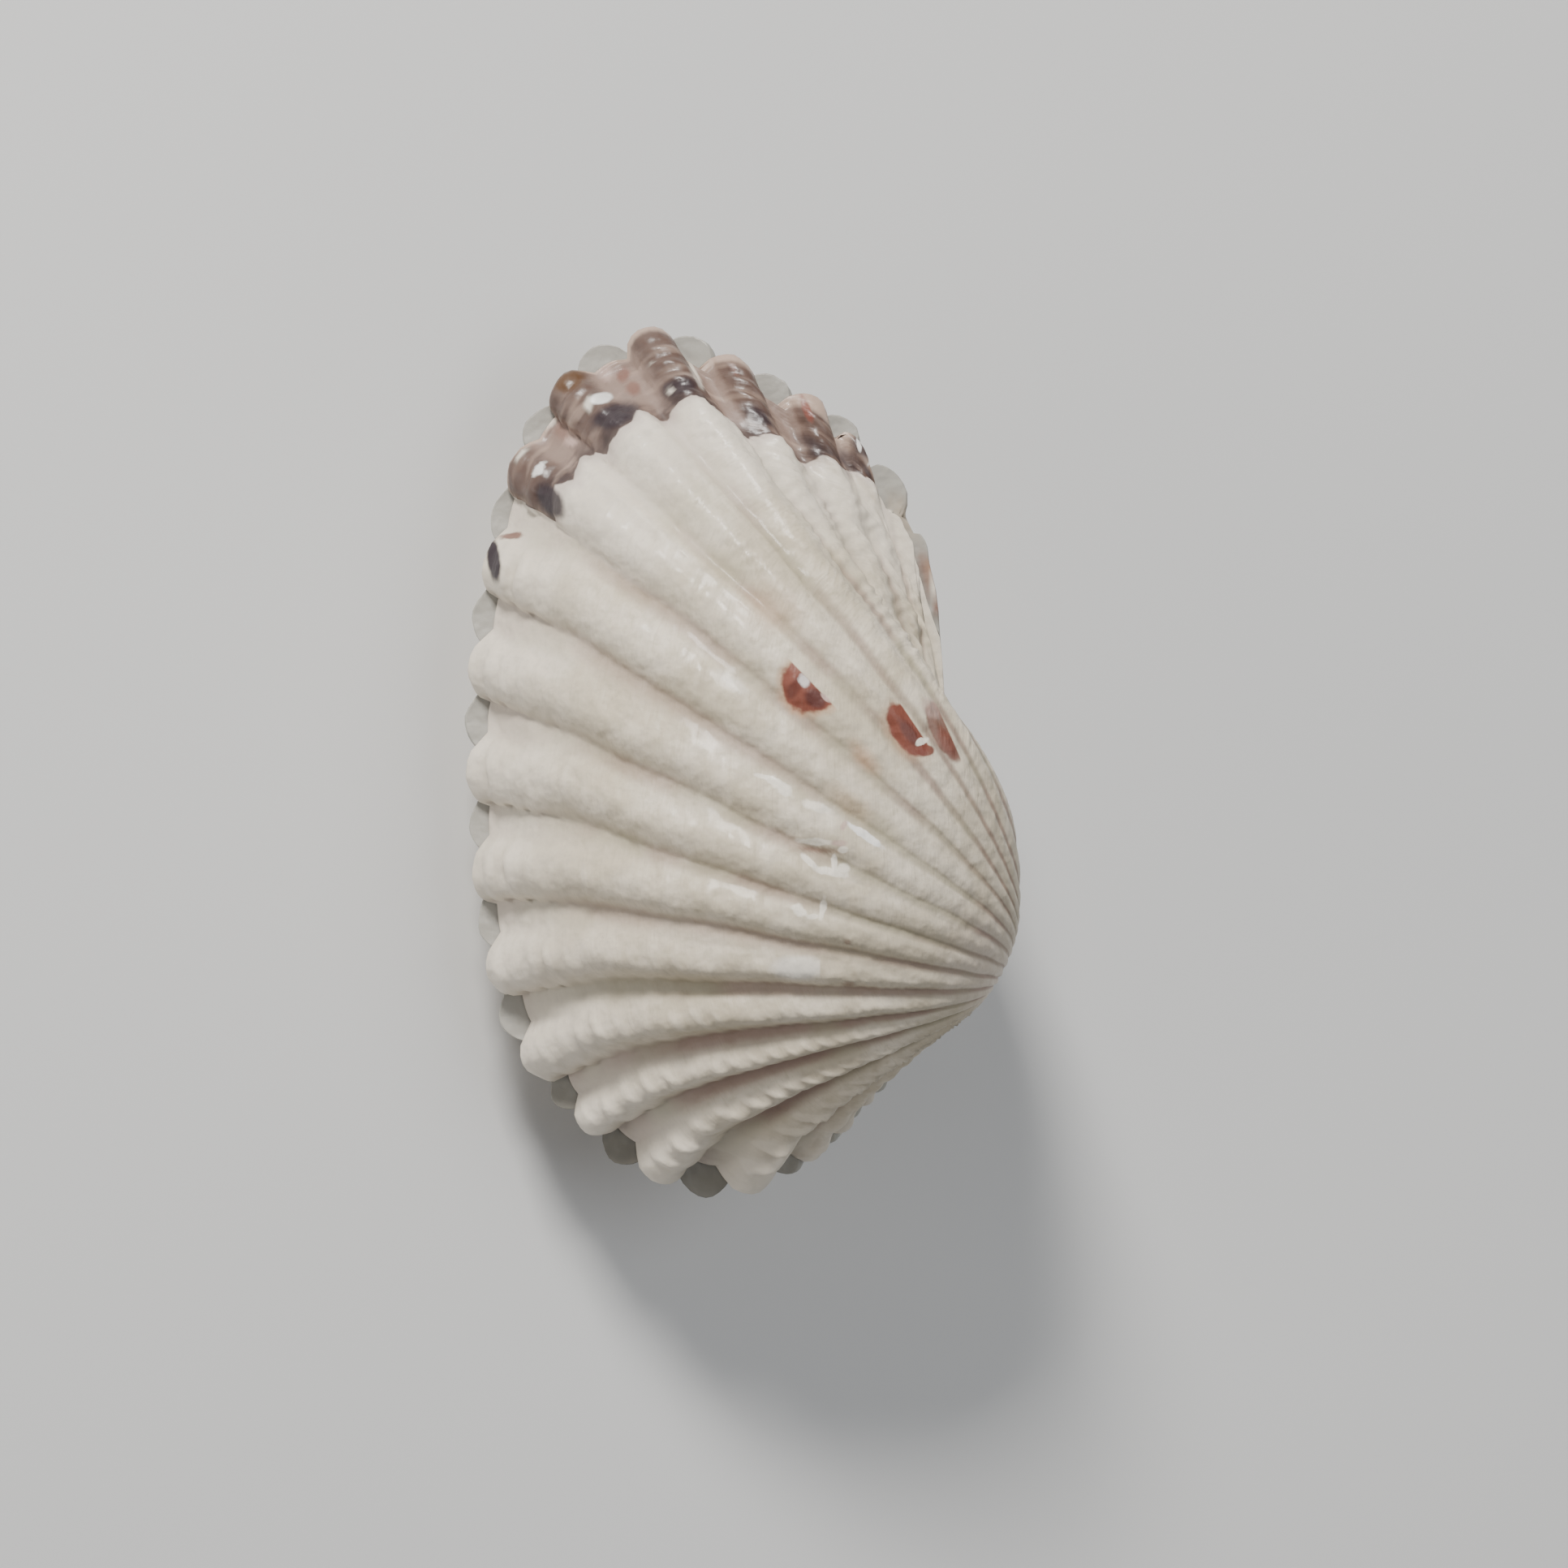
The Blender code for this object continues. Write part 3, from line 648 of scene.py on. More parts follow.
@dataclass
class Valve:
    """One valve: the ribbed outside, the crimped rim and the hollow, from one wrapped grid."""

    name: str
    node: str
    side: Side
    growth: GrowthRule
    ribs: RibRow
    step: GrowthStep
    phase: float
    columns_per_rib: int = 16
    hinge_columns: int = 23
    rows: int = 254
    row_bias: float = 1.45
    last_turn: float = math.radians(173.0)
    crimp: float = 0.0085
    crimp_fade: float = 0.16
    seam_gap: float = 0.02
    edge_round: float = 0.10
    edge_width: float = 0.22
    set_back: float = 0.60
    stand_out: float = 0.15
    edge_jag: float = 0.10
    relief_start: float = 0.045
    rib_fade: Pair = (0.3, 2.4)
    groove_crowding: float = 0.065
    lump_height: float = 0.050
    crest_lump_height: float = 0.040
    ring_height: float = 0.010
    riblet_height: float = 0.18
    riblet_spacing: float = 0.92
    scale_spacing: float = 0.62
    rim_insets: tuple[float, ...] = (0.05, 0.25, 0.7, 1.3)
    hollow_rows: int = 9
    hollow_turn: float = math.radians(150.0)
    hollow_scale: Triple = (0.80, 0.86, 0.82)
    hollow_centre: Triple = (-9.5, 8.5, 0.0)
    piece: bpy.types.Object | None = field(default=None, repr=False)

    def shares(self) -> Array:
        """Place the grid's columns, closer together in the grooves.

        Returns:
            Shares of the margin, one a column.
        """
        ribs = len(self.ribs.widths)
        even = np.arange(ribs * self.columns_per_rib + 1) / self.columns_per_rib
        crowded = even - self.groove_crowding * np.sin(2.0 * math.pi * (even - self.phase))
        crowded[0], crowded[-1] = 0.0, ribs
        ribbed = np.interp(crowded, np.arange(ribs + 1), self.ribs.edges)
        start, end = self.ribs.edges[-1], self.ribs.edges[0] + self.growth.length
        hinge = np.linspace(start, end, self.hinge_columns + 1)[1:]
        return np.concatenate((ribbed, hinge)) / self.growth.length

    def seam_turn(self, share: Array) -> Array:
        """Find the turn where the valve ends at the crimped line that both valves share.

        Args:
            share: Shares of the margin.

        Returns:
            Turns in radians, over zero under the right valve's ribs.
        """
        length = np.mod(share, 1.0) * self.growth.length
        count = self.ribs.count(length, 0.0)
        place = count - np.floor(count)
        warped = np.clip(place, 1e-4, 1.0) ** (math.log(0.5) / math.log(self.ribs.margin_crest))
        wave = -np.cos(2.0 * math.pi * warped)
        first, last = self.ribs.edges[0], self.ribs.edges[-1]
        ends = smooth_step(0.0, 2.0, length - first) * smooth_step(0.0, 2.0, last - length)
        return self.crimp * wave * ends * self.side.value

    def outside(self, share: Array, turn: Array) -> tuple[Array, dict[str, Array]]:
        """Place the ribbed outside.

        Args:
            share: Shares of the margin, one a column.
            turn: Turns counted from the seam, one a row.

        Returns:
            Points in the shell's frame, and named values for the finish.
        """
        growth, ribs = self.growth, self.ribs
        seam = self.seam_turn(share)
        real = turn + seam * np.exp(-turn / self.crimp_fade)
        length = np.mod(share, 1.0) * growth.length + 0.0 * turn
        smooth = growth.point(share, real)
        low = growth.point(share, seam + 0.0 * turn)[..., 2]
        reach = growth.reach(share, 0.0 * turn)
        rib, place = ribs.place(length, turn, self.phase, reach)
        profile = ribs.profile(rib, place, turn)
        shrink = np.exp(-growth.shrink_rate * turn)
        height = ribs.height(length, turn)
        beads = ribs.beads(rib, place, turn, reach) * np.sqrt(shrink) * smooth_step(0.05, 0.45, height)
        fade = smooth_step(*self.rib_fade, growth.reach(share, turn))
        travel = turn * np.maximum(growth.reach(share, turn), LEAST_ARC) * PATH_STRETCH
        lumps = self.lump_height * ripple(length * 1.7, travel * 1.5, 5.0)
        on_disc = smooth_step(1.9, 0.7, turn)
        lumps = lumps + self.crest_lump_height * profile * on_disc * ripple(length * 3.0, travel * 4.6, 8.0)
        rings = self.ring_height * ripple(share * 9.0, turn * 70.0, 11.0)
        below = self.step.depth(rib + place, turn)
        lift = height * shrink * (profile - ribs.groove_level) + beads + (lumps + rings) * shrink - below
        lift = fade * (lift + self.riblets(smooth, rib + place, turn))
        lift = lift + self.overhang(share, travel)
        if self.side is Side.RIGHT:
            x, y = smooth[..., 0], smooth[..., 1]
            lift = lift + sum(stain_or_light.raised * stain_or_light.amount(x, y) for stain_or_light in MARKS if stain_or_light.raised)
        full = growth.normal(share, real)
        flat = growth.margin_outward(growth.leaned(share, turn))
        flat = np.concatenate((flat, np.zeros(flat.shape[:-1] + (1,))), axis=-1)
        blend = smooth_step(0.0, self.relief_start, turn)[..., None]
        way = flat * (1.0 - blend) + full * blend
        way = way / np.maximum(np.linalg.norm(way, axis=-1, keepdims=True), 1e-9)
        points = smooth.copy()
        points[..., :2] += lift[..., None] * way[..., :2]
        rise = np.maximum(lift * way[..., 2], -0.7 * np.maximum(smooth[..., 2] - low, 0.0))
        points[..., 2] += rise
        tuck = self.edge_round * np.clip(1.0 - travel / self.edge_width, 0.0, 1.0) ** 2
        points -= tuck[..., None] * flat
        points[..., 2] += self.seam_gap
        values = {
            "rib": profile * fade + (1.0 - fade) * 0.75,
            "turn": turn + 0.0 * share,
            "travel": travel,
            "band": self.step.line(rib + place, turn) - turn,
            "near": self.open_view(smooth) * (1.0 if self.side is Side.RIGHT else 0.0),
            "far": np.full(travel.shape, 0.0 if self.side is Side.RIGHT else 1.0),
            "knob": beads / 0.1,
        }
        return points, values

    def open_view(self, smooth: Array) -> Array:
        """Tell where the valve can be seen from its own side, and isn't tucked in under the beak.

        Args:
            smooth: Points of the smooth valve.

        Returns:
            Values from 0 to 1.
        """
        x, y, z = smooth[..., 0], smooth[..., 1], smooth[..., 2]
        low = 1.3 + 1.5 * smooth_step(2.0, 4.0, y)
        high = np.maximum(smooth_step(0.0, 0.5, z - low), smooth_step(-3.4, -4.0, x))
        return np.maximum(high, smooth_step(12.4, 13.0, y))

    def riblets(self, smooth: Array, count: Array, turn: Array) -> Array:
        """Give the fine, scaly riblets that cross the last ribs at the back end.

        Args:
            smooth: Points of the smooth valve.
            count: Rib numbers with the place across the rib as their fraction.
            turn: Turns about the hinge line.

        Returns:
            Heights in mm.
        """
        x, y = smooth[..., 0], smooth[..., 1]
        across, along = 0.81 * x + 0.585 * y, 0.585 * x - 0.81 * y
        ridge = 0.5 + 0.5 * np.cos(2.0 * math.pi * across / self.riblet_spacing + 1.4 * ripple(x * 0.9, y * 0.9, 6.0))
        scale = 0.5 + 0.5 * np.cos(2.0 * math.pi * along / self.scale_spacing + 2.4 * ripple(x * 1.3, y * 1.3, 9.0))
        inside = smooth_step(16.0, 17.4, count) * smooth_step(1.7, 1.0, turn) * smooth_step(0.14, 0.28, turn)
        return self.riblet_height * inside * (ridge**1.4 - 0.45 + 0.5 * ridge * (scale - 0.5))

    def overhang(self, share: Array, travel: Array) -> Array:
        """Give how far the hind edge stands out, where the left valve's lobes show past the right valve.

        Args:
            share: Shares of the margin.
            travel: Distances from the margin in mm.

        Returns:
            Distances in mm, below zero where the edge stands back.
        """
        inside = smooth_step(0.760, 0.785, share) * smooth_step(0.868, 0.848, share)
        if self.side is Side.RIGHT:
            jagged = self.edge_jag * ripple(share * 420.0, 0.0 * travel, 2.0)
            return (jagged - self.set_back) * inside * smooth_step(2.6, 0.3, travel)
        return self.stand_out * inside * smooth_step(2.0, 0.0, travel)

    def grid(self) -> tuple[Array, dict[str, Array]]:
        """Place the whole grid, from the beak to the rim and on into the hollow.

        Returns:
            Points in the shell's frame by row and column, and named values by row and column.
        """
        share = self.shares()[None, :]
        turns = (self.last_turn * (np.arange(self.rows) / (self.rows - 1)) ** self.row_bias)[::-1][:, None]
        outside, values = self.outside(share, turns)
        tip = np.broadcast_to(outside[0].mean(axis=0), (1,) + outside.shape[1:])
        edge = outside[-1]
        inward = self.growth.margin_outward(share[0])
        rim = []
        for inset in self.rim_insets:
            ring = edge.copy()
            ring[:, :2] -= inset * inward
            rim.append(ring)
        centre = np.array(self.hollow_centre)
        hollow_turns = np.linspace(0.0, self.hollow_turn, self.hollow_rows)[:, None]
        hollow = centre + (self.growth.point(share, hollow_turns) - centre) * np.array(self.hollow_scale)
        hollow[0, :, 2] = edge[:, 2] * 0.5
        end = np.broadcast_to(hollow[-1].mean(axis=0), (1,) + hollow.shape[1:])
        points = np.concatenate((tip, outside, np.stack(rim), hollow, end))
        inner_rows = len(rim) + len(hollow) + 1
        full: dict[str, Array] = {}
        for key, value in values.items():
            value = np.broadcast_to(value, outside.shape[:2])
            rest = {"rib": 0.8, "far": value[-1, 0]}.get(key, 0.0)
            inner = np.full((inner_rows, value.shape[1]), rest)
            full[key] = np.concatenate((value[:1], value, inner))
        inside = np.zeros(points.shape[:2])
        inside[-(len(hollow) + 1):] = 1.0
        full["inside"] = inside
        return points, full

    def marks(self, points: Array, values: dict[str, Array]) -> Array:
        """Work out the colour and strength of the soft marks.

        Args:
            points: Points in the shell's frame.
            values: Named values by row and column.

        Returns:
            Red, green, blue and strength for each point.
        """
        colour = np.zeros(points.shape[:-1] + (4,))
        stains_and_lights, shown = [stain_or_light for stain_or_light in MARKS if not stain_or_light.sharp()], values["near"]
        if self.side is Side.LEFT:
            stains_and_lights, shown = list(FAR_MARKS), smooth_step(1.7, 1.0, values["travel"]) * (values["inside"] < 0.5)
        for stain_or_light in stains_and_lights:
            amount = stain_or_light.amount(points[..., 0], points[..., 1]) * shown
            rest = 1.0 - amount
            strength = amount + colour[..., 3] * rest
            safe = np.maximum(strength, 1e-6)
            for channel in range(3):
                mixed = stain_or_light.colour[channel] * amount + colour[..., channel] * colour[..., 3] * rest
                colour[..., channel] = mixed / safe
            colour[..., 3] = strength
        return colour

    def build(self) -> bpy.types.Object:
        """Model the valve.

        Returns:
            The finished piece.
        """
        points, values = self.grid()
        row_count, column_count = points.shape[:2]
        marks = self.marks(points, values)
        deselect_all()
        bpy.ops.mesh.primitive_grid_add(
            x_subdivisions=column_count - 1, y_subdivisions=row_count - 1, size=2.0, location=(0.0, 0.0, 0.0),
        )
        piece = bpy.context.object
        piece.name = self.name
        mesh = piece.data
        mesh.name = self.name
        placed = np.empty(len(mesh.vertices) * 3, dtype=np.float32)
        mesh.vertices.foreach_get("co", placed)
        placed = placed.reshape(-1, 3)
        column = np.rint((placed[:, 0] + 1.0) / 2.0 * (column_count - 1)).astype(int)
        row = np.rint((placed[:, 1] + 1.0) / 2.0 * (row_count - 1)).astype(int)
        world = np.array(placing())
        spots = points[row, column] * np.array((1.0, 1.0, self.side.value))
        spots = spots @ world[:3, :3].T + world[:3, 3]
        spots[:, 2] = np.maximum(spots[:, 2], 0.0)
        mesh.vertices.foreach_set("co", spots.astype(np.float32).ravel())
        for key, value in values.items():
            write_values(mesh, key, value[row, column])
        layer = mesh.color_attributes.new("marks", "FLOAT_COLOR", "POINT")
        layer.data.foreach_set("color", marks[row, column].astype(np.float32).ravel())
        self.lay_grain(mesh, values["turn"], row, column)
        mesh.update()
        bpy.ops.object.mode_set(mode="EDIT")
        bpy.ops.mesh.select_all(action="SELECT")
        bpy.ops.mesh.remove_doubles(threshold=1.0e-6)
        bpy.ops.mesh.normals_make_consistent(inside=False)
        bpy.ops.object.mode_set(mode="OBJECT")
        bpy.ops.object.shade_smooth()
        self.piece = piece
        return piece

    def lay_grain(self, mesh: bpy.types.Mesh, turns: Array, row: Array, column: Array) -> None:
        """Lay the surface's own coordinates, across the ribs and along them, as a UV map.

        Args:
            mesh: The mesh.
            turns: Turns about the hinge line by row and column.
            row: Row of each point.
            column: Column of each point.
        """
        share = self.shares()
        lengths = (share - share[0]) * self.growth.length
        u = np.broadcast_to(lengths[None, :], turns.shape) / 10.0
        loops = np.empty(len(mesh.loops), dtype=np.int32)
        mesh.loops.foreach_get("vertex_index", loops)
        pairs = np.stack((u[row, column], turns[row, column]), axis=-1)[loops]
        layer = mesh.uv_layers.active if mesh.uv_layers.active else mesh.uv_layers.new(name="UVMap")
        layer.data.foreach_set("uv", pairs.astype(np.float32).ravel())

    def dress(self, material: bpy.types.Material) -> None:
        """Give the valve its finish and its place in the frame.

        Args:
            material: The shell's material.
        """
        self.piece.data.materials.clear()
        self.piece.data.materials.append(material)
        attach(self.piece, ROOT)
        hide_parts(self.node)


@dataclass
class Ligament:
    """The horny band behind the beaks, swollen in the middle and ringed by its yearly layers."""

    name: str = "ligament_band"
    node: str = "ligament"
    start: Pair = (0.56, 5.3)
    end: Pair = (0.25, 9.3)
    height: float = 0.5
    width: float = 0.3
    rings: int = 15
    sides: int = 28
    piece: bpy.types.Object | None = field(default=None, repr=False)

    def build(self) -> bpy.types.Object:
        """Model the band from a cylinder that is cut into rings and swollen.

        Returns:
            The finished piece.
        """
        deselect_all()
        bpy.ops.mesh.primitive_cylinder_add(vertices=self.sides, radius=1.0, depth=2.0, location=(0.0, 0.0, 0.0))
        piece = bpy.context.object
        piece.name = self.name
        bpy.ops.object.mode_set(mode="EDIT")
        for cut in range(1, self.rings):
            bpy.ops.mesh.select_all(action="SELECT")
            height = -1.0 + 2.0 * cut / self.rings
            bpy.ops.mesh.bisect(plane_co=(0.0, 0.0, height), plane_no=(0.0, 0.0, 1.0))
        bpy.ops.object.mode_set(mode="OBJECT")
        for vertex in piece.data.vertices:
            vertex.co = self.placed(vertex.co)
        piece.data.update()
        bpy.ops.object.mode_set(mode="EDIT")
        bpy.ops.mesh.select_all(action="SELECT")
        bpy.ops.mesh.normals_make_consistent(inside=False)
        bpy.ops.object.mode_set(mode="OBJECT")
        soften = piece.modifiers.new("soften", "SUBSURF")
        soften.levels = 1
        soften.render_levels = 1
        bpy.ops.object.modifier_apply(modifier=soften.name)
        bpy.ops.object.shade_smooth()
        self.piece = piece
        return piece

    def placed(self, spot: Vector) -> Vector:
        """Bring a point of the plain cylinder to its place on the band.

        Args:
            spot: Point of the cylinder, with z from -1 to 1 along it.

        Returns:
            The point in the world in metres.
        """
        along = (spot.z + 1.0) / 2.0
        swell = 0.45 + 0.55 * math.sin(math.pi * (0.12 + 0.76 * along)) ** 0.8
        swell *= 1.0 - 0.05 * (0.5 + 0.5 * math.cos(math.pi * self.rings * along))
        x = self.start[0] + (self.end[0] - self.start[0]) * along + spot.x * self.width * swell
        y = self.start[1] + (self.end[1] - self.start[1]) * along
        return placing() @ Vector((x, y, spot.y * self.height * swell))

    def dress(self, material: bpy.types.Material) -> None:
        """Give the band its finish and its place in the frame.

        Args:
            material: The horn's material.
        """
        self.piece.data.materials.clear()
        self.piece.data.materials.append(material)
        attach(self.piece, ROOT)
        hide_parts(self.node)


class NodeBench:
    """A material's node tree with short ways to add and join nodes."""

    def __init__(self, name: str) -> None:
        """Start a material with one shader.

        Args:
            name: Name of the material.
        """
        self.material = bpy.data.materials.new(name)
        self.material.use_nodes = True
        self.tree = self.material.node_tree
        self.shader = self.tree.nodes["Principled BSDF"]

    def add(self, kind: str, **settings: object) -> bpy.types.Node:
        """Add a node and set its own properties.

        Args:
            kind: Blender's name of the node type.
            settings: Properties to set.

        Returns:
            The node.
        """
        node = self.tree.nodes.new(kind)
        for key, value in settings.items():
            setattr(node, key, value)
        return node

    def feed(self, socket: Socket, source: object) -> None:
        """Join a socket to an output, or set its own value.

        Args:
            socket: Socket to feed.
            source: An output socket or a plain value.
        """
        if isinstance(source, Socket):
            self.tree.links.new(source, socket)
        else:
            socket.default_value = source

    def value(self, name: str) -> Socket:
        """Read one of the mesh's own numbers."""
        return self.add("ShaderNodeAttribute", attribute_name=name).outputs["Fac"]

    def math(
        self, operation: str, first: object, second: object = 0.0, third: object = 0.0, clamp: bool = False,
    ) -> Socket:
        """Work out one sum.

        Args:
            operation: Blender's name of the operation.
            first: First value or socket.
            second: Second value or socket.
            third: Third value or socket, for the operations that read one.
            clamp: Whether the result stays from 0 to 1.

        Returns:
            The result's socket.
        """
        node = self.add("ShaderNodeMath", operation=operation, use_clamp=clamp)
        self.feed(node.inputs[0], first)
        self.feed(node.inputs[1], second)
        self.feed(node.inputs[2], third)
        return node.outputs[0]

    def times(self, first: object, second: object) -> Socket:
        """Multiply two values or sockets."""
        return self.math("MULTIPLY", first, second)

    def span(self, source: object, low: float, high: float, start: float = 0.0, end: float = 1.0) -> Socket:
        """Map a range of values smoothly to another.

        Args:
            source: Value or socket to map.
            low: Value that maps to the start.
            high: Value that maps to the end.
            start: First result.
            end: Last result.

        Returns:
            The result's socket.
        """
        node = self.add("ShaderNodeMapRange", interpolation_type="SMOOTHSTEP")
        self.feed(node.inputs["Value"], source)
        for key, value in (("From Min", low), ("From Max", high), ("To Min", start), ("To Max", end)):
            node.inputs[key].default_value = value
        return node.outputs["Result"]

    def noise(self, place: object, scale: float, detail: float = 3.0, rough: float = 0.5) -> Socket:
        """Add a cloudy pattern.

        Args:
            place: Socket of the coordinates.
            scale: Scale of the pattern.
            detail: Number of finer layers.
            rough: Strength of the finer layers.

        Returns:
            The pattern's socket.
        """
        node = self.add("ShaderNodeTexNoise")
        self.feed(node.inputs["Vector"], place)
        node.inputs["Scale"].default_value = scale
        node.inputs["Detail"].default_value = detail
        node.inputs["Roughness"].default_value = rough
        return node.outputs["Fac"]

    def mix(self, amount: object, first: object, second: object) -> Socket:
        """Mix two colours.

        Args:
            amount: Share of the second colour.
            first: First colour or socket.
            second: Second colour or socket.

        Returns:
            The mixed colour's socket.
        """
        node = self.add("ShaderNodeMix", data_type="RGBA", clamp_factor=True)
        self.feed(node.inputs["Factor"], amount)
        self.feed(node.inputs["A"], tint(first))
        self.feed(node.inputs["B"], tint(second))
        return node.outputs["Result"]

    def stretch(self, place: object, scale: Triple) -> Socket:
        """Stretch coordinates before a pattern reads them.

        Args:
            place: Socket of the coordinates.
            scale: Scale along each axis.

        Returns:
            The stretched coordinates' socket.
        """
        node = self.add("ShaderNodeMapping")
        self.feed(node.inputs["Vector"], place)
        node.inputs["Scale"].default_value = scale
        return node.outputs["Vector"]

    def unturned(self, place: object) -> Socket:
        """Bring the object's coordinates back to the shell's frame in mm.

        Args:
            place: Socket of the object's coordinates.

        Returns:
            The coordinates' socket.
        """
        node = self.add("ShaderNodeMapping", vector_type="TEXTURE")
        self.feed(node.inputs["Vector"], place)
        node.inputs["Location"].default_value = placing().translation
        node.inputs["Rotation"].default_value = placing().to_euler()
        node.inputs["Scale"].default_value = (MM, MM, MM)
        return node.outputs["Vector"]

    def patch(self, flat: object, stain_or_light: StainAndPaintedLight, wobble: object) -> Socket:
        """Work out how strongly a mark shows.

        Args:
            flat: Socket of the coordinates in the shell's frame.
            stain_or_light: The mark.
            wobble: Socket of a pattern that makes the outline uneven.

        Returns:
            The amount's socket.
        """
        node = self.add("ShaderNodeMapping", vector_type="TEXTURE")
        self.feed(node.inputs["Vector"], flat)
        node.inputs["Location"].default_value = (*stain_or_light.centre, 0.0)
        node.inputs["Rotation"].default_value = (0.0, 0.0, math.radians(stain_or_light.angle))
        node.inputs["Scale"].default_value = (*stain_or_light.radii, 1.0e6)
        ragged = 0.30 if min(stain_or_light.radii) > 0.2 else 1.3
        away = self.add("ShaderNodeVectorMath", operation="LENGTH")
        self.feed(away.inputs[0], node.outputs["Vector"])
        far = self.math("ADD", away.outputs["Value"], self.times(wobble, ragged))
        middle = 1.0 + 0.5 * ragged
        amount = self.span(far, middle + stain_or_light.softness, middle - stain_or_light.softness, 0.0, stain_or_light.strength)
        if stain_or_light.cut is None:
            return amount
        towards = Vector((math.cos(math.radians(stain_or_light.cut[2])), math.sin(math.radians(stain_or_light.cut[2])), 0.0))
        level = towards.dot(Vector((stain_or_light.cut[0], stain_or_light.cut[1], 0.0)))
        side = self.add("ShaderNodeVectorMath", operation="DOT_PRODUCT")
        self.feed(side.inputs[0], flat)
        side.inputs[1].default_value = towards
        return self.times(amount, self.span(side.outputs["Value"], level - 0.03, level + 0.03))

    def bump(self, height: object, strength: float, distance: float, under: object = None) -> Socket:
        """Raise a surface in its shading.

        Args:
            height: Socket of the heights.
            strength: Strength from 0 to 1.
            distance: Depth in metres.
            under: Socket of a normal to build on.

        Returns:
            The normal's socket.
        """
        node = self.add("ShaderNodeBump")
        self.feed(node.inputs["Height"], height)
        node.inputs["Strength"].default_value = strength
        node.inputs["Distance"].default_value = distance
        if under is not None:
            self.feed(node.inputs["Normal"], under)
        return node.outputs["Normal"]


def tint(colour: object) -> object:
    """Add full alpha to a plain colour."""
    return colour + (1.0,) if isinstance(colour, tuple) and len(colour) == 3 else colour


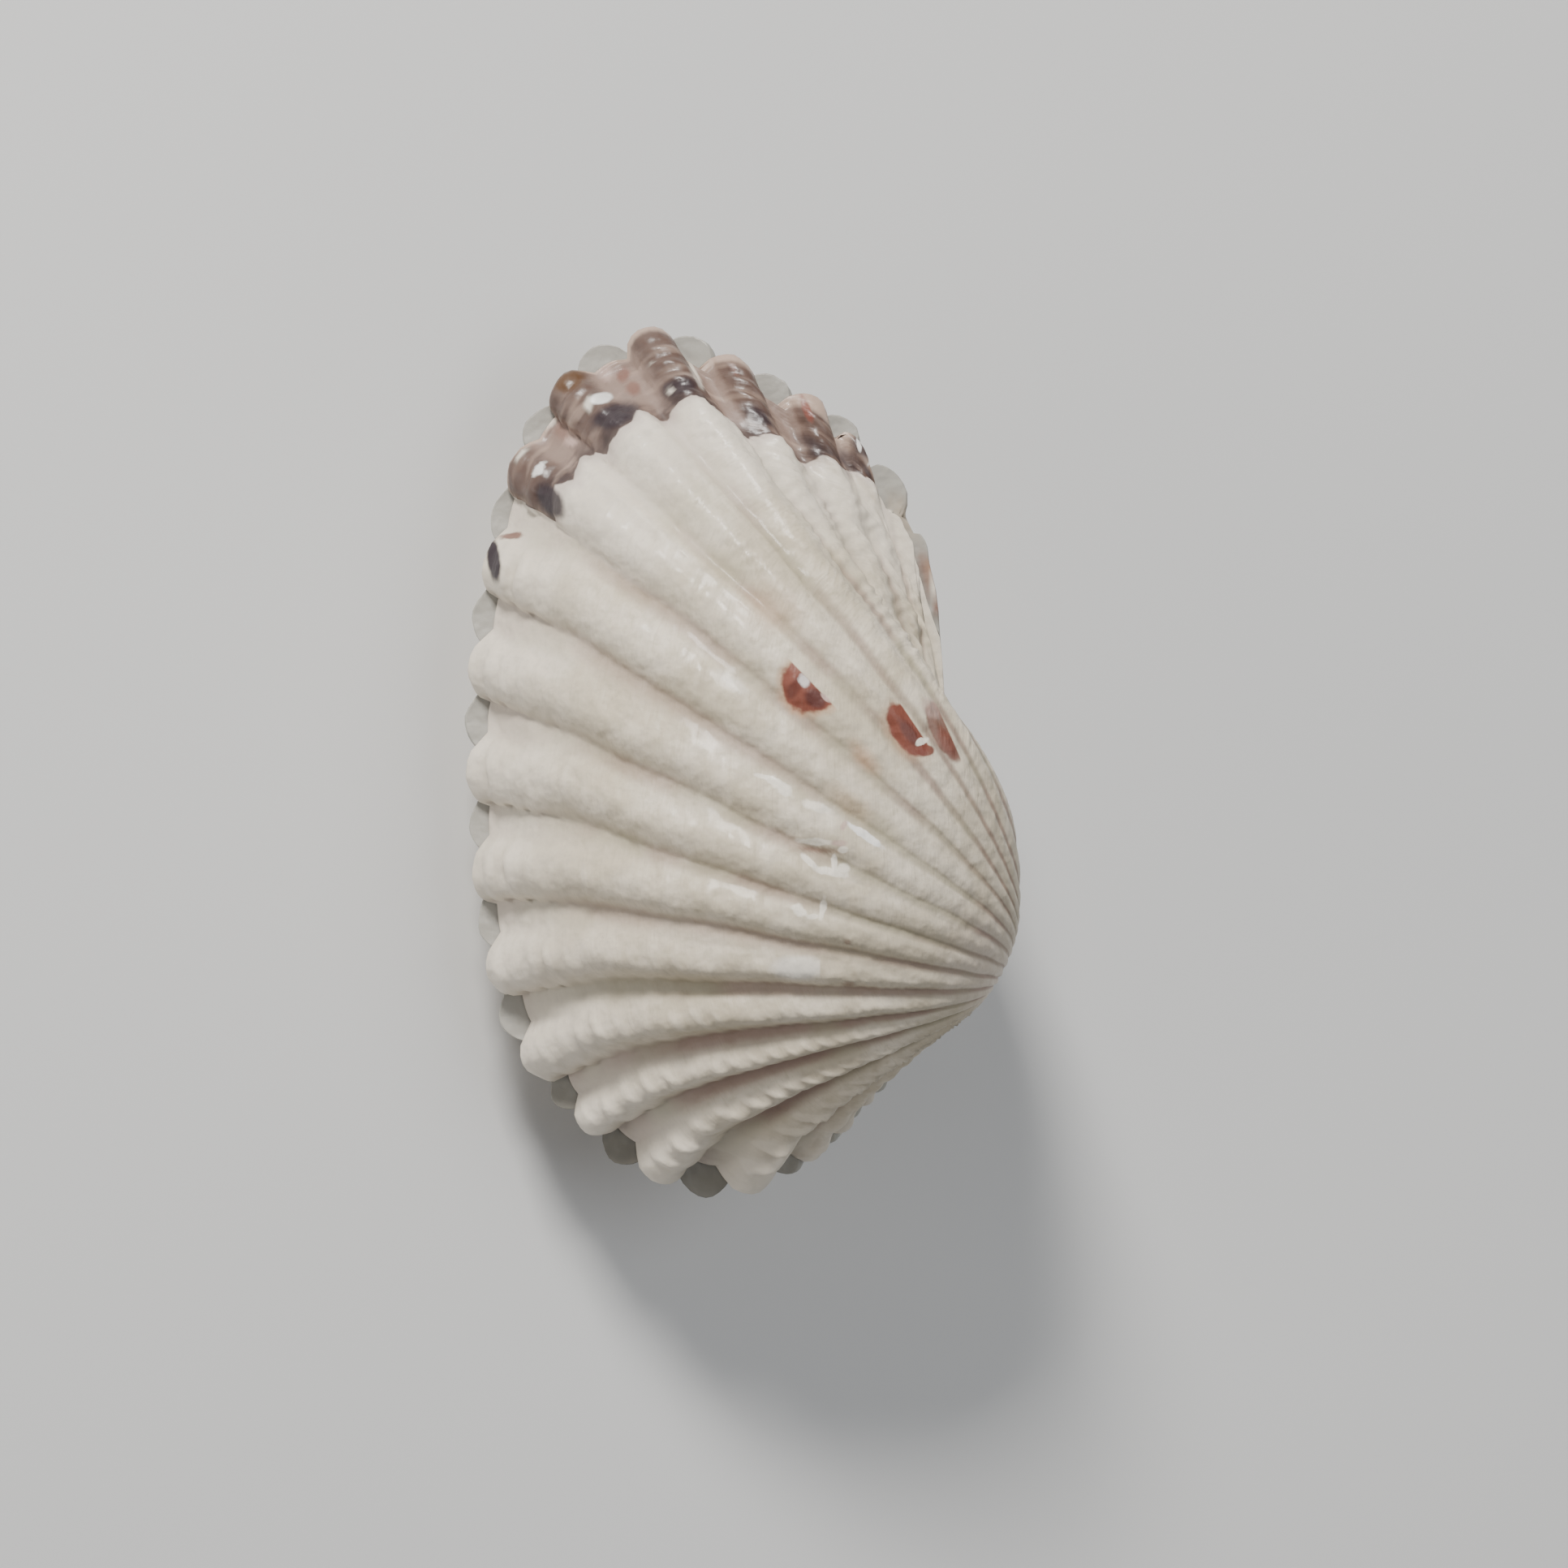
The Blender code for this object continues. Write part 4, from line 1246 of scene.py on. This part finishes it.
@dataclass(frozen=True)
class ShellFinish:
    """Weathered porcelain-like shell: cream ribs, mauve-brown grooves and a brown glossy band."""

    name: str = "shell_finish"
    cream: Triple = (0.61, 0.53, 0.395)
    pale: Triple = (0.75, 0.665, 0.53)
    grey: Triple = (0.46, 0.40, 0.285)
    shade: Triple = (0.40, 0.34, 0.25)
    groove: Triple = (0.25, 0.155, 0.12)
    olive: Triple = (0.30, 0.265, 0.175)
    fresh: Triple = (0.86, 0.79, 0.69)
    tinge: Triple = (0.42, 0.33, 0.32)
    band: Triple = (0.120, 0.074, 0.058)
    band_pale: Triple = (0.27, 0.19, 0.155)
    band_dark: Triple = (0.030, 0.017, 0.018)
    rim: Triple = (0.52, 0.38, 0.30)
    far_rim: Triple = (0.36, 0.35, 0.31)
    inner: Triple = (0.80, 0.77, 0.72)
    roughness: float = 0.45
    coat: float = 0.15
    coat_roughness: float = 0.15

    def build(self) -> bpy.types.Material:
        """Make the material.

        Returns:
            The material.
        """
        bench = NodeBench(self.name)
        place = bench.add("ShaderNodeTexCoord").outputs["Object"]
        spot = bench.stretch(place, (1000.0, 1000.0, 1000.0))
        grain = bench.add("ShaderNodeUVMap", uv_map="UVMap").outputs["UV"]
        rib, band = bench.value("rib"), bench.value("band")
        turn, travel = bench.value("turn"), bench.value("travel")

        # Cream ribs with paler clouds, and painted shade that makes them greyer towards the front end
        clouds = bench.noise(spot, 0.35, 4.0, 0.55)
        specks = bench.noise(spot, 3.2, 3.0, 0.6)
        base = bench.mix(bench.span(clouds, 0.40, 0.62), self.cream, self.pale)
        base = bench.mix(bench.times(bench.span(specks, 0.45, 0.70), 0.35), base, self.grey)
        flat = bench.unturned(place)
        level = bench.add("ShaderNodeSeparateXYZ")
        bench.feed(level.inputs[0], flat)
        # Painted shade: the front end, which faces away from the key lamp, is darkened in the colour itself
        front_shade = bench.span(level.outputs["Y"], 6.0, -3.0)
        base = bench.mix(bench.times(front_shade, 0.25), base, self.shade)
        growth_lines = bench.noise(bench.stretch(grain, (9.0, 90.0, 1.0)), 1.0, 3.0, 0.6)
        base = bench.mix(bench.times(bench.span(growth_lines, 0.50, 0.70), 0.28), base, self.grey)

        # Mauve and olive grooves, stronger towards the beak as their own colour and stronger towards the front end as
        # painted shade, and pale knobs
        deep = bench.span(bench.math("ADD", rib, bench.times(specks, 0.16)), 0.58, 0.08)
        groove_tint = bench.mix(bench.span(bench.noise(spot, 0.22, 2.0), 0.45, 0.60), self.groove, self.olive)
        # Groove tint grows towards the beak as the shell's own colour, and towards the front end as painted shade
        beak_tint_and_front_shade = bench.math("MAXIMUM", bench.span(turn, 0.3, 1.9, 0.52, 0.74), bench.times(front_shade, 0.85))
        base = bench.mix(bench.times(deep, beak_tint_and_front_shade), base, groove_tint)
        knob = bench.span(bench.value("knob"), 0.15, 0.55, 0.0, 0.45)
        base = bench.mix(knob, base, self.pale)

        # The brown band past the growth step, darkest by the step and pale at the rim
        newer = bench.span(band, 0.002, 0.009)
        band_clouds = bench.noise(bench.stretch(grain, (7.0, 26.0, 1.0)), 1.0, 3.0, 0.55)
        on_rib = bench.span(bench.math("ADD", rib, bench.times(band_clouds, 0.5)), 0.55, 1.0)
        band_colour = bench.mix(on_rib, self.band_pale, self.band)
        ringed = bench.noise(bench.stretch(grain, (4.0, 34.0, 1.0)), 1.0, 1.5, 0.4)
        band_colour = bench.mix(bench.times(bench.span(ringed, 0.52, 0.70), 0.40), band_colour, self.rim)
        by_step = bench.times(bench.span(band, 0.075, 0.012), bench.span(band_clouds, 0.35, 0.58))
        band_colour = bench.mix(bench.times(by_step, 0.75), band_colour, self.band_dark)
        edge_pale = bench.times(bench.span(travel, 0.36, 0.18), 0.85)
        band_colour = bench.mix(edge_pale, band_colour, self.rim)
        far = bench.value("far")
        band_colour = bench.mix(bench.times(far, 0.15), band_colour, self.far_rim)
        base = bench.mix(bench.span(band, -0.50, -0.05, 0.0, 0.55), base, self.fresh)
        base = bench.mix(bench.times(bench.span(band, -0.040, 0.0), 0.45), base, self.tinge)
        base = bench.mix(newer, base, band_colour)

        # The left valve's grey edge, and the marks
        far_edge = bench.times(far, bench.span(travel, 0.55, 0.15))
        base = bench.mix(bench.times(far_edge, 0.90), base, self.far_rim)
        marks = bench.add("ShaderNodeAttribute", attribute_name="marks")
        base = bench.mix(marks.outputs["Alpha"], base, marks.outputs["Color"])
        wobble = bench.noise(flat, 2.6, 2.0, 0.5)
        facing = bench.value("near")
        for stain_or_light in MARKS:
            if stain_or_light.sharp():
                amount = bench.times(bench.patch(flat, stain_or_light, wobble), facing)
                base = bench.mix(amount, base, stain_or_light.colour)
        base = bench.mix(bench.value("inside"), base, self.inner)
        bench.feed(bench.shader.inputs["Base Color"], base)

        # Gloss and fine relief
        rough = bench.math("ADD", bench.times(deep, 0.16), self.roughness)
        rough = bench.math("ADD", rough, bench.times(specks, 0.12))
        rough = bench.math("SUBTRACT", rough, bench.times(newer, 0.10), clamp=True)
        bench.feed(bench.shader.inputs["Roughness"], rough)
        bench.shader.inputs["Coat Weight"].default_value = self.coat
        bench.shader.inputs["Coat Roughness"].default_value = self.coat_roughness
        fine_lines = bench.noise(bench.stretch(grain, (5.0, 110.0, 1.0)), 1.0, 2.0, 0.5)
        grains = bench.noise(spot, 7.0, 2.0, 0.5)
        hammered = bench.noise(spot, 1.7, 1.5, 0.45)
        normal = bench.bump(fine_lines, 0.18, 0.00010)
        normal = bench.bump(grains, 0.12, 0.00006, normal)
        normal = bench.bump(hammered, 0.50, 0.00022, normal)
        bench.feed(bench.shader.inputs["Normal"], normal)
        return bench.material


@dataclass(frozen=True)
class HornFinish:
    """Dry dark horn with fine layers along it."""

    name: str = "horn_finish"
    dark: Triple = (0.030, 0.016, 0.010)
    light: Triple = (0.13, 0.070, 0.035)
    roughness: float = 0.48

    def build(self) -> bpy.types.Material:
        """Make the material.

        Returns:
            The material.
        """
        bench = NodeBench(self.name)
        place = bench.add("ShaderNodeTexCoord").outputs["Object"]
        layers = bench.noise(bench.stretch(place, (4000.0, 900.0, 4000.0)), 1.0, 3.0, 0.6)
        crumbs = bench.noise(bench.stretch(place, (6000.0, 6000.0, 6000.0)), 1.0, 2.0, 0.5)
        colour = bench.mix(bench.span(layers, 0.40, 0.66), self.dark, self.light)
        bench.feed(bench.shader.inputs["Base Color"], colour)
        rough = bench.span(crumbs, 0.3, 0.7, self.roughness - 0.1, self.roughness + 0.14)
        bench.feed(bench.shader.inputs["Roughness"], rough)
        normal = bench.bump(layers, 0.5, 0.00010)
        bench.feed(bench.shader.inputs["Normal"], bench.bump(crumbs, 0.3, 0.00004, normal))
        return bench.material


@dataclass
class Studio:
    """A pale floor, soft lights and the camera."""

    floor_size: float = 1.6
    floor_colour: Triple = (0.74, 0.74, 0.73)
    picture_middle: Pair = (-6.40, 7.19)
    picture_width: float = 58.35
    lens: float = 300.0
    sensor: float = 36.0
    lamp_distance: float = 0.35
    sky: float = 0.20

    def build(self) -> None:
        """Set up the floor, the lights, the sky and the camera."""
        self.add_floor()
        self.add_sky()
        self.add_light("key", (-0.15, 0.74, 0.65), 0.08, 1.58, (1.0, 0.975, 0.94))
        self.add_light("fill", (0.62, 0.10, 0.70), 0.25, 0.36, (0.94, 0.97, 1.0))
        self.add_light("left", (-0.80, -0.05, 0.60), 0.20, 0.25, (1.0, 0.98, 0.96))
        self.add_camera()

    def add_floor(self) -> None:
        """Lay the floor."""
        deselect_all()
        bpy.ops.mesh.primitive_plane_add(size=self.floor_size, location=(0.0, 0.0, 0.0))
        floor = bpy.context.object
        floor.name = "floor"
        bench = NodeBench("floor_finish")
        bench.shader.inputs["Base Color"].default_value = tint(self.floor_colour)
        bench.shader.inputs["Roughness"].default_value = 0.85
        floor.data.materials.append(bench.material)

    def add_sky(self) -> None:
        """Light the scene evenly from all round."""
        world = bpy.data.worlds.new("soft_sky")
        world.use_nodes = True
        background = world.node_tree.nodes["Background"]
        background.inputs["Color"].default_value = (0.93, 0.95, 1.0, 1.0)
        background.inputs["Strength"].default_value = self.sky
        bpy.context.scene.world = world

    def add_light(
        self, name: str, way: Triple, size: float, power: float, colour: Triple,
    ) -> None:
        """Hang a soft lamp that looks at the shell.

        Args:
            name: Name of the lamp.
            way: Direction of the lamp from the shell, in the shell's frame.
            size: Side of the lamp in metres.
            power: Power in watts.
            colour: Colour of the light.
        """
        deselect_all()
        place = placing() @ (Vector(way).normalized() * self.lamp_distance / MM)
        bpy.ops.object.light_add(type="AREA", location=place)
        lamp = bpy.context.object
        lamp.name = name
        lamp.data.size = size
        lamp.data.energy = power
        lamp.data.color = colour
        lamp.rotation_euler = (Vector((0.0, 0.0, 0.006)) - place).to_track_quat("-Z", "Y").to_euler()

    def add_camera(self) -> None:
        """Stand the camera square to the plane where the valves meet."""
        deselect_all()
        bpy.ops.object.camera_add()
        camera = bpy.context.object
        camera.name = "camera"
        camera.data.lens = self.lens
        camera.data.sensor_width = self.sensor
        distance = self.picture_width * self.lens / self.sensor
        middle = Vector((self.picture_middle[0], self.picture_middle[1], distance))
        camera.matrix_world = Matrix.Translation(placing() @ middle) @ Matrix.Rotation(TIP, 4, "Y")
        camera.data.clip_start = 0.01
        camera.data.clip_end = 20.0
        bpy.context.scene.camera = camera


def main() -> None:
    """Build the valves, the ligament and the studio."""
    logging.basicConfig(level=logging.INFO, format="%(name)s: %(message)s")
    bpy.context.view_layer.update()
    growth, ribs, step = GrowthRule(), RibRow(), GrowthStep()
    shell, horn = ShellFinish().build(), HornFinish().build()
    valves = (
        Valve("right_shell", "right_valve", Side.RIGHT, growth, ribs, step, 0.0),
        Valve("left_shell", "left_valve", Side.LEFT, growth, ribs, step, 0.5),
    )
    for valve in valves:
        piece = valve.build()
        valve.dress(shell)
        LOG.info("%s has %d faces", piece.name, len(piece.data.polygons))
    ligament = Ligament()
    piece = ligament.build()
    ligament.dress(horn)
    LOG.info("%s has %d faces", piece.name, len(piece.data.polygons))
    Studio().build()


if __name__ == "__main__":
    main()
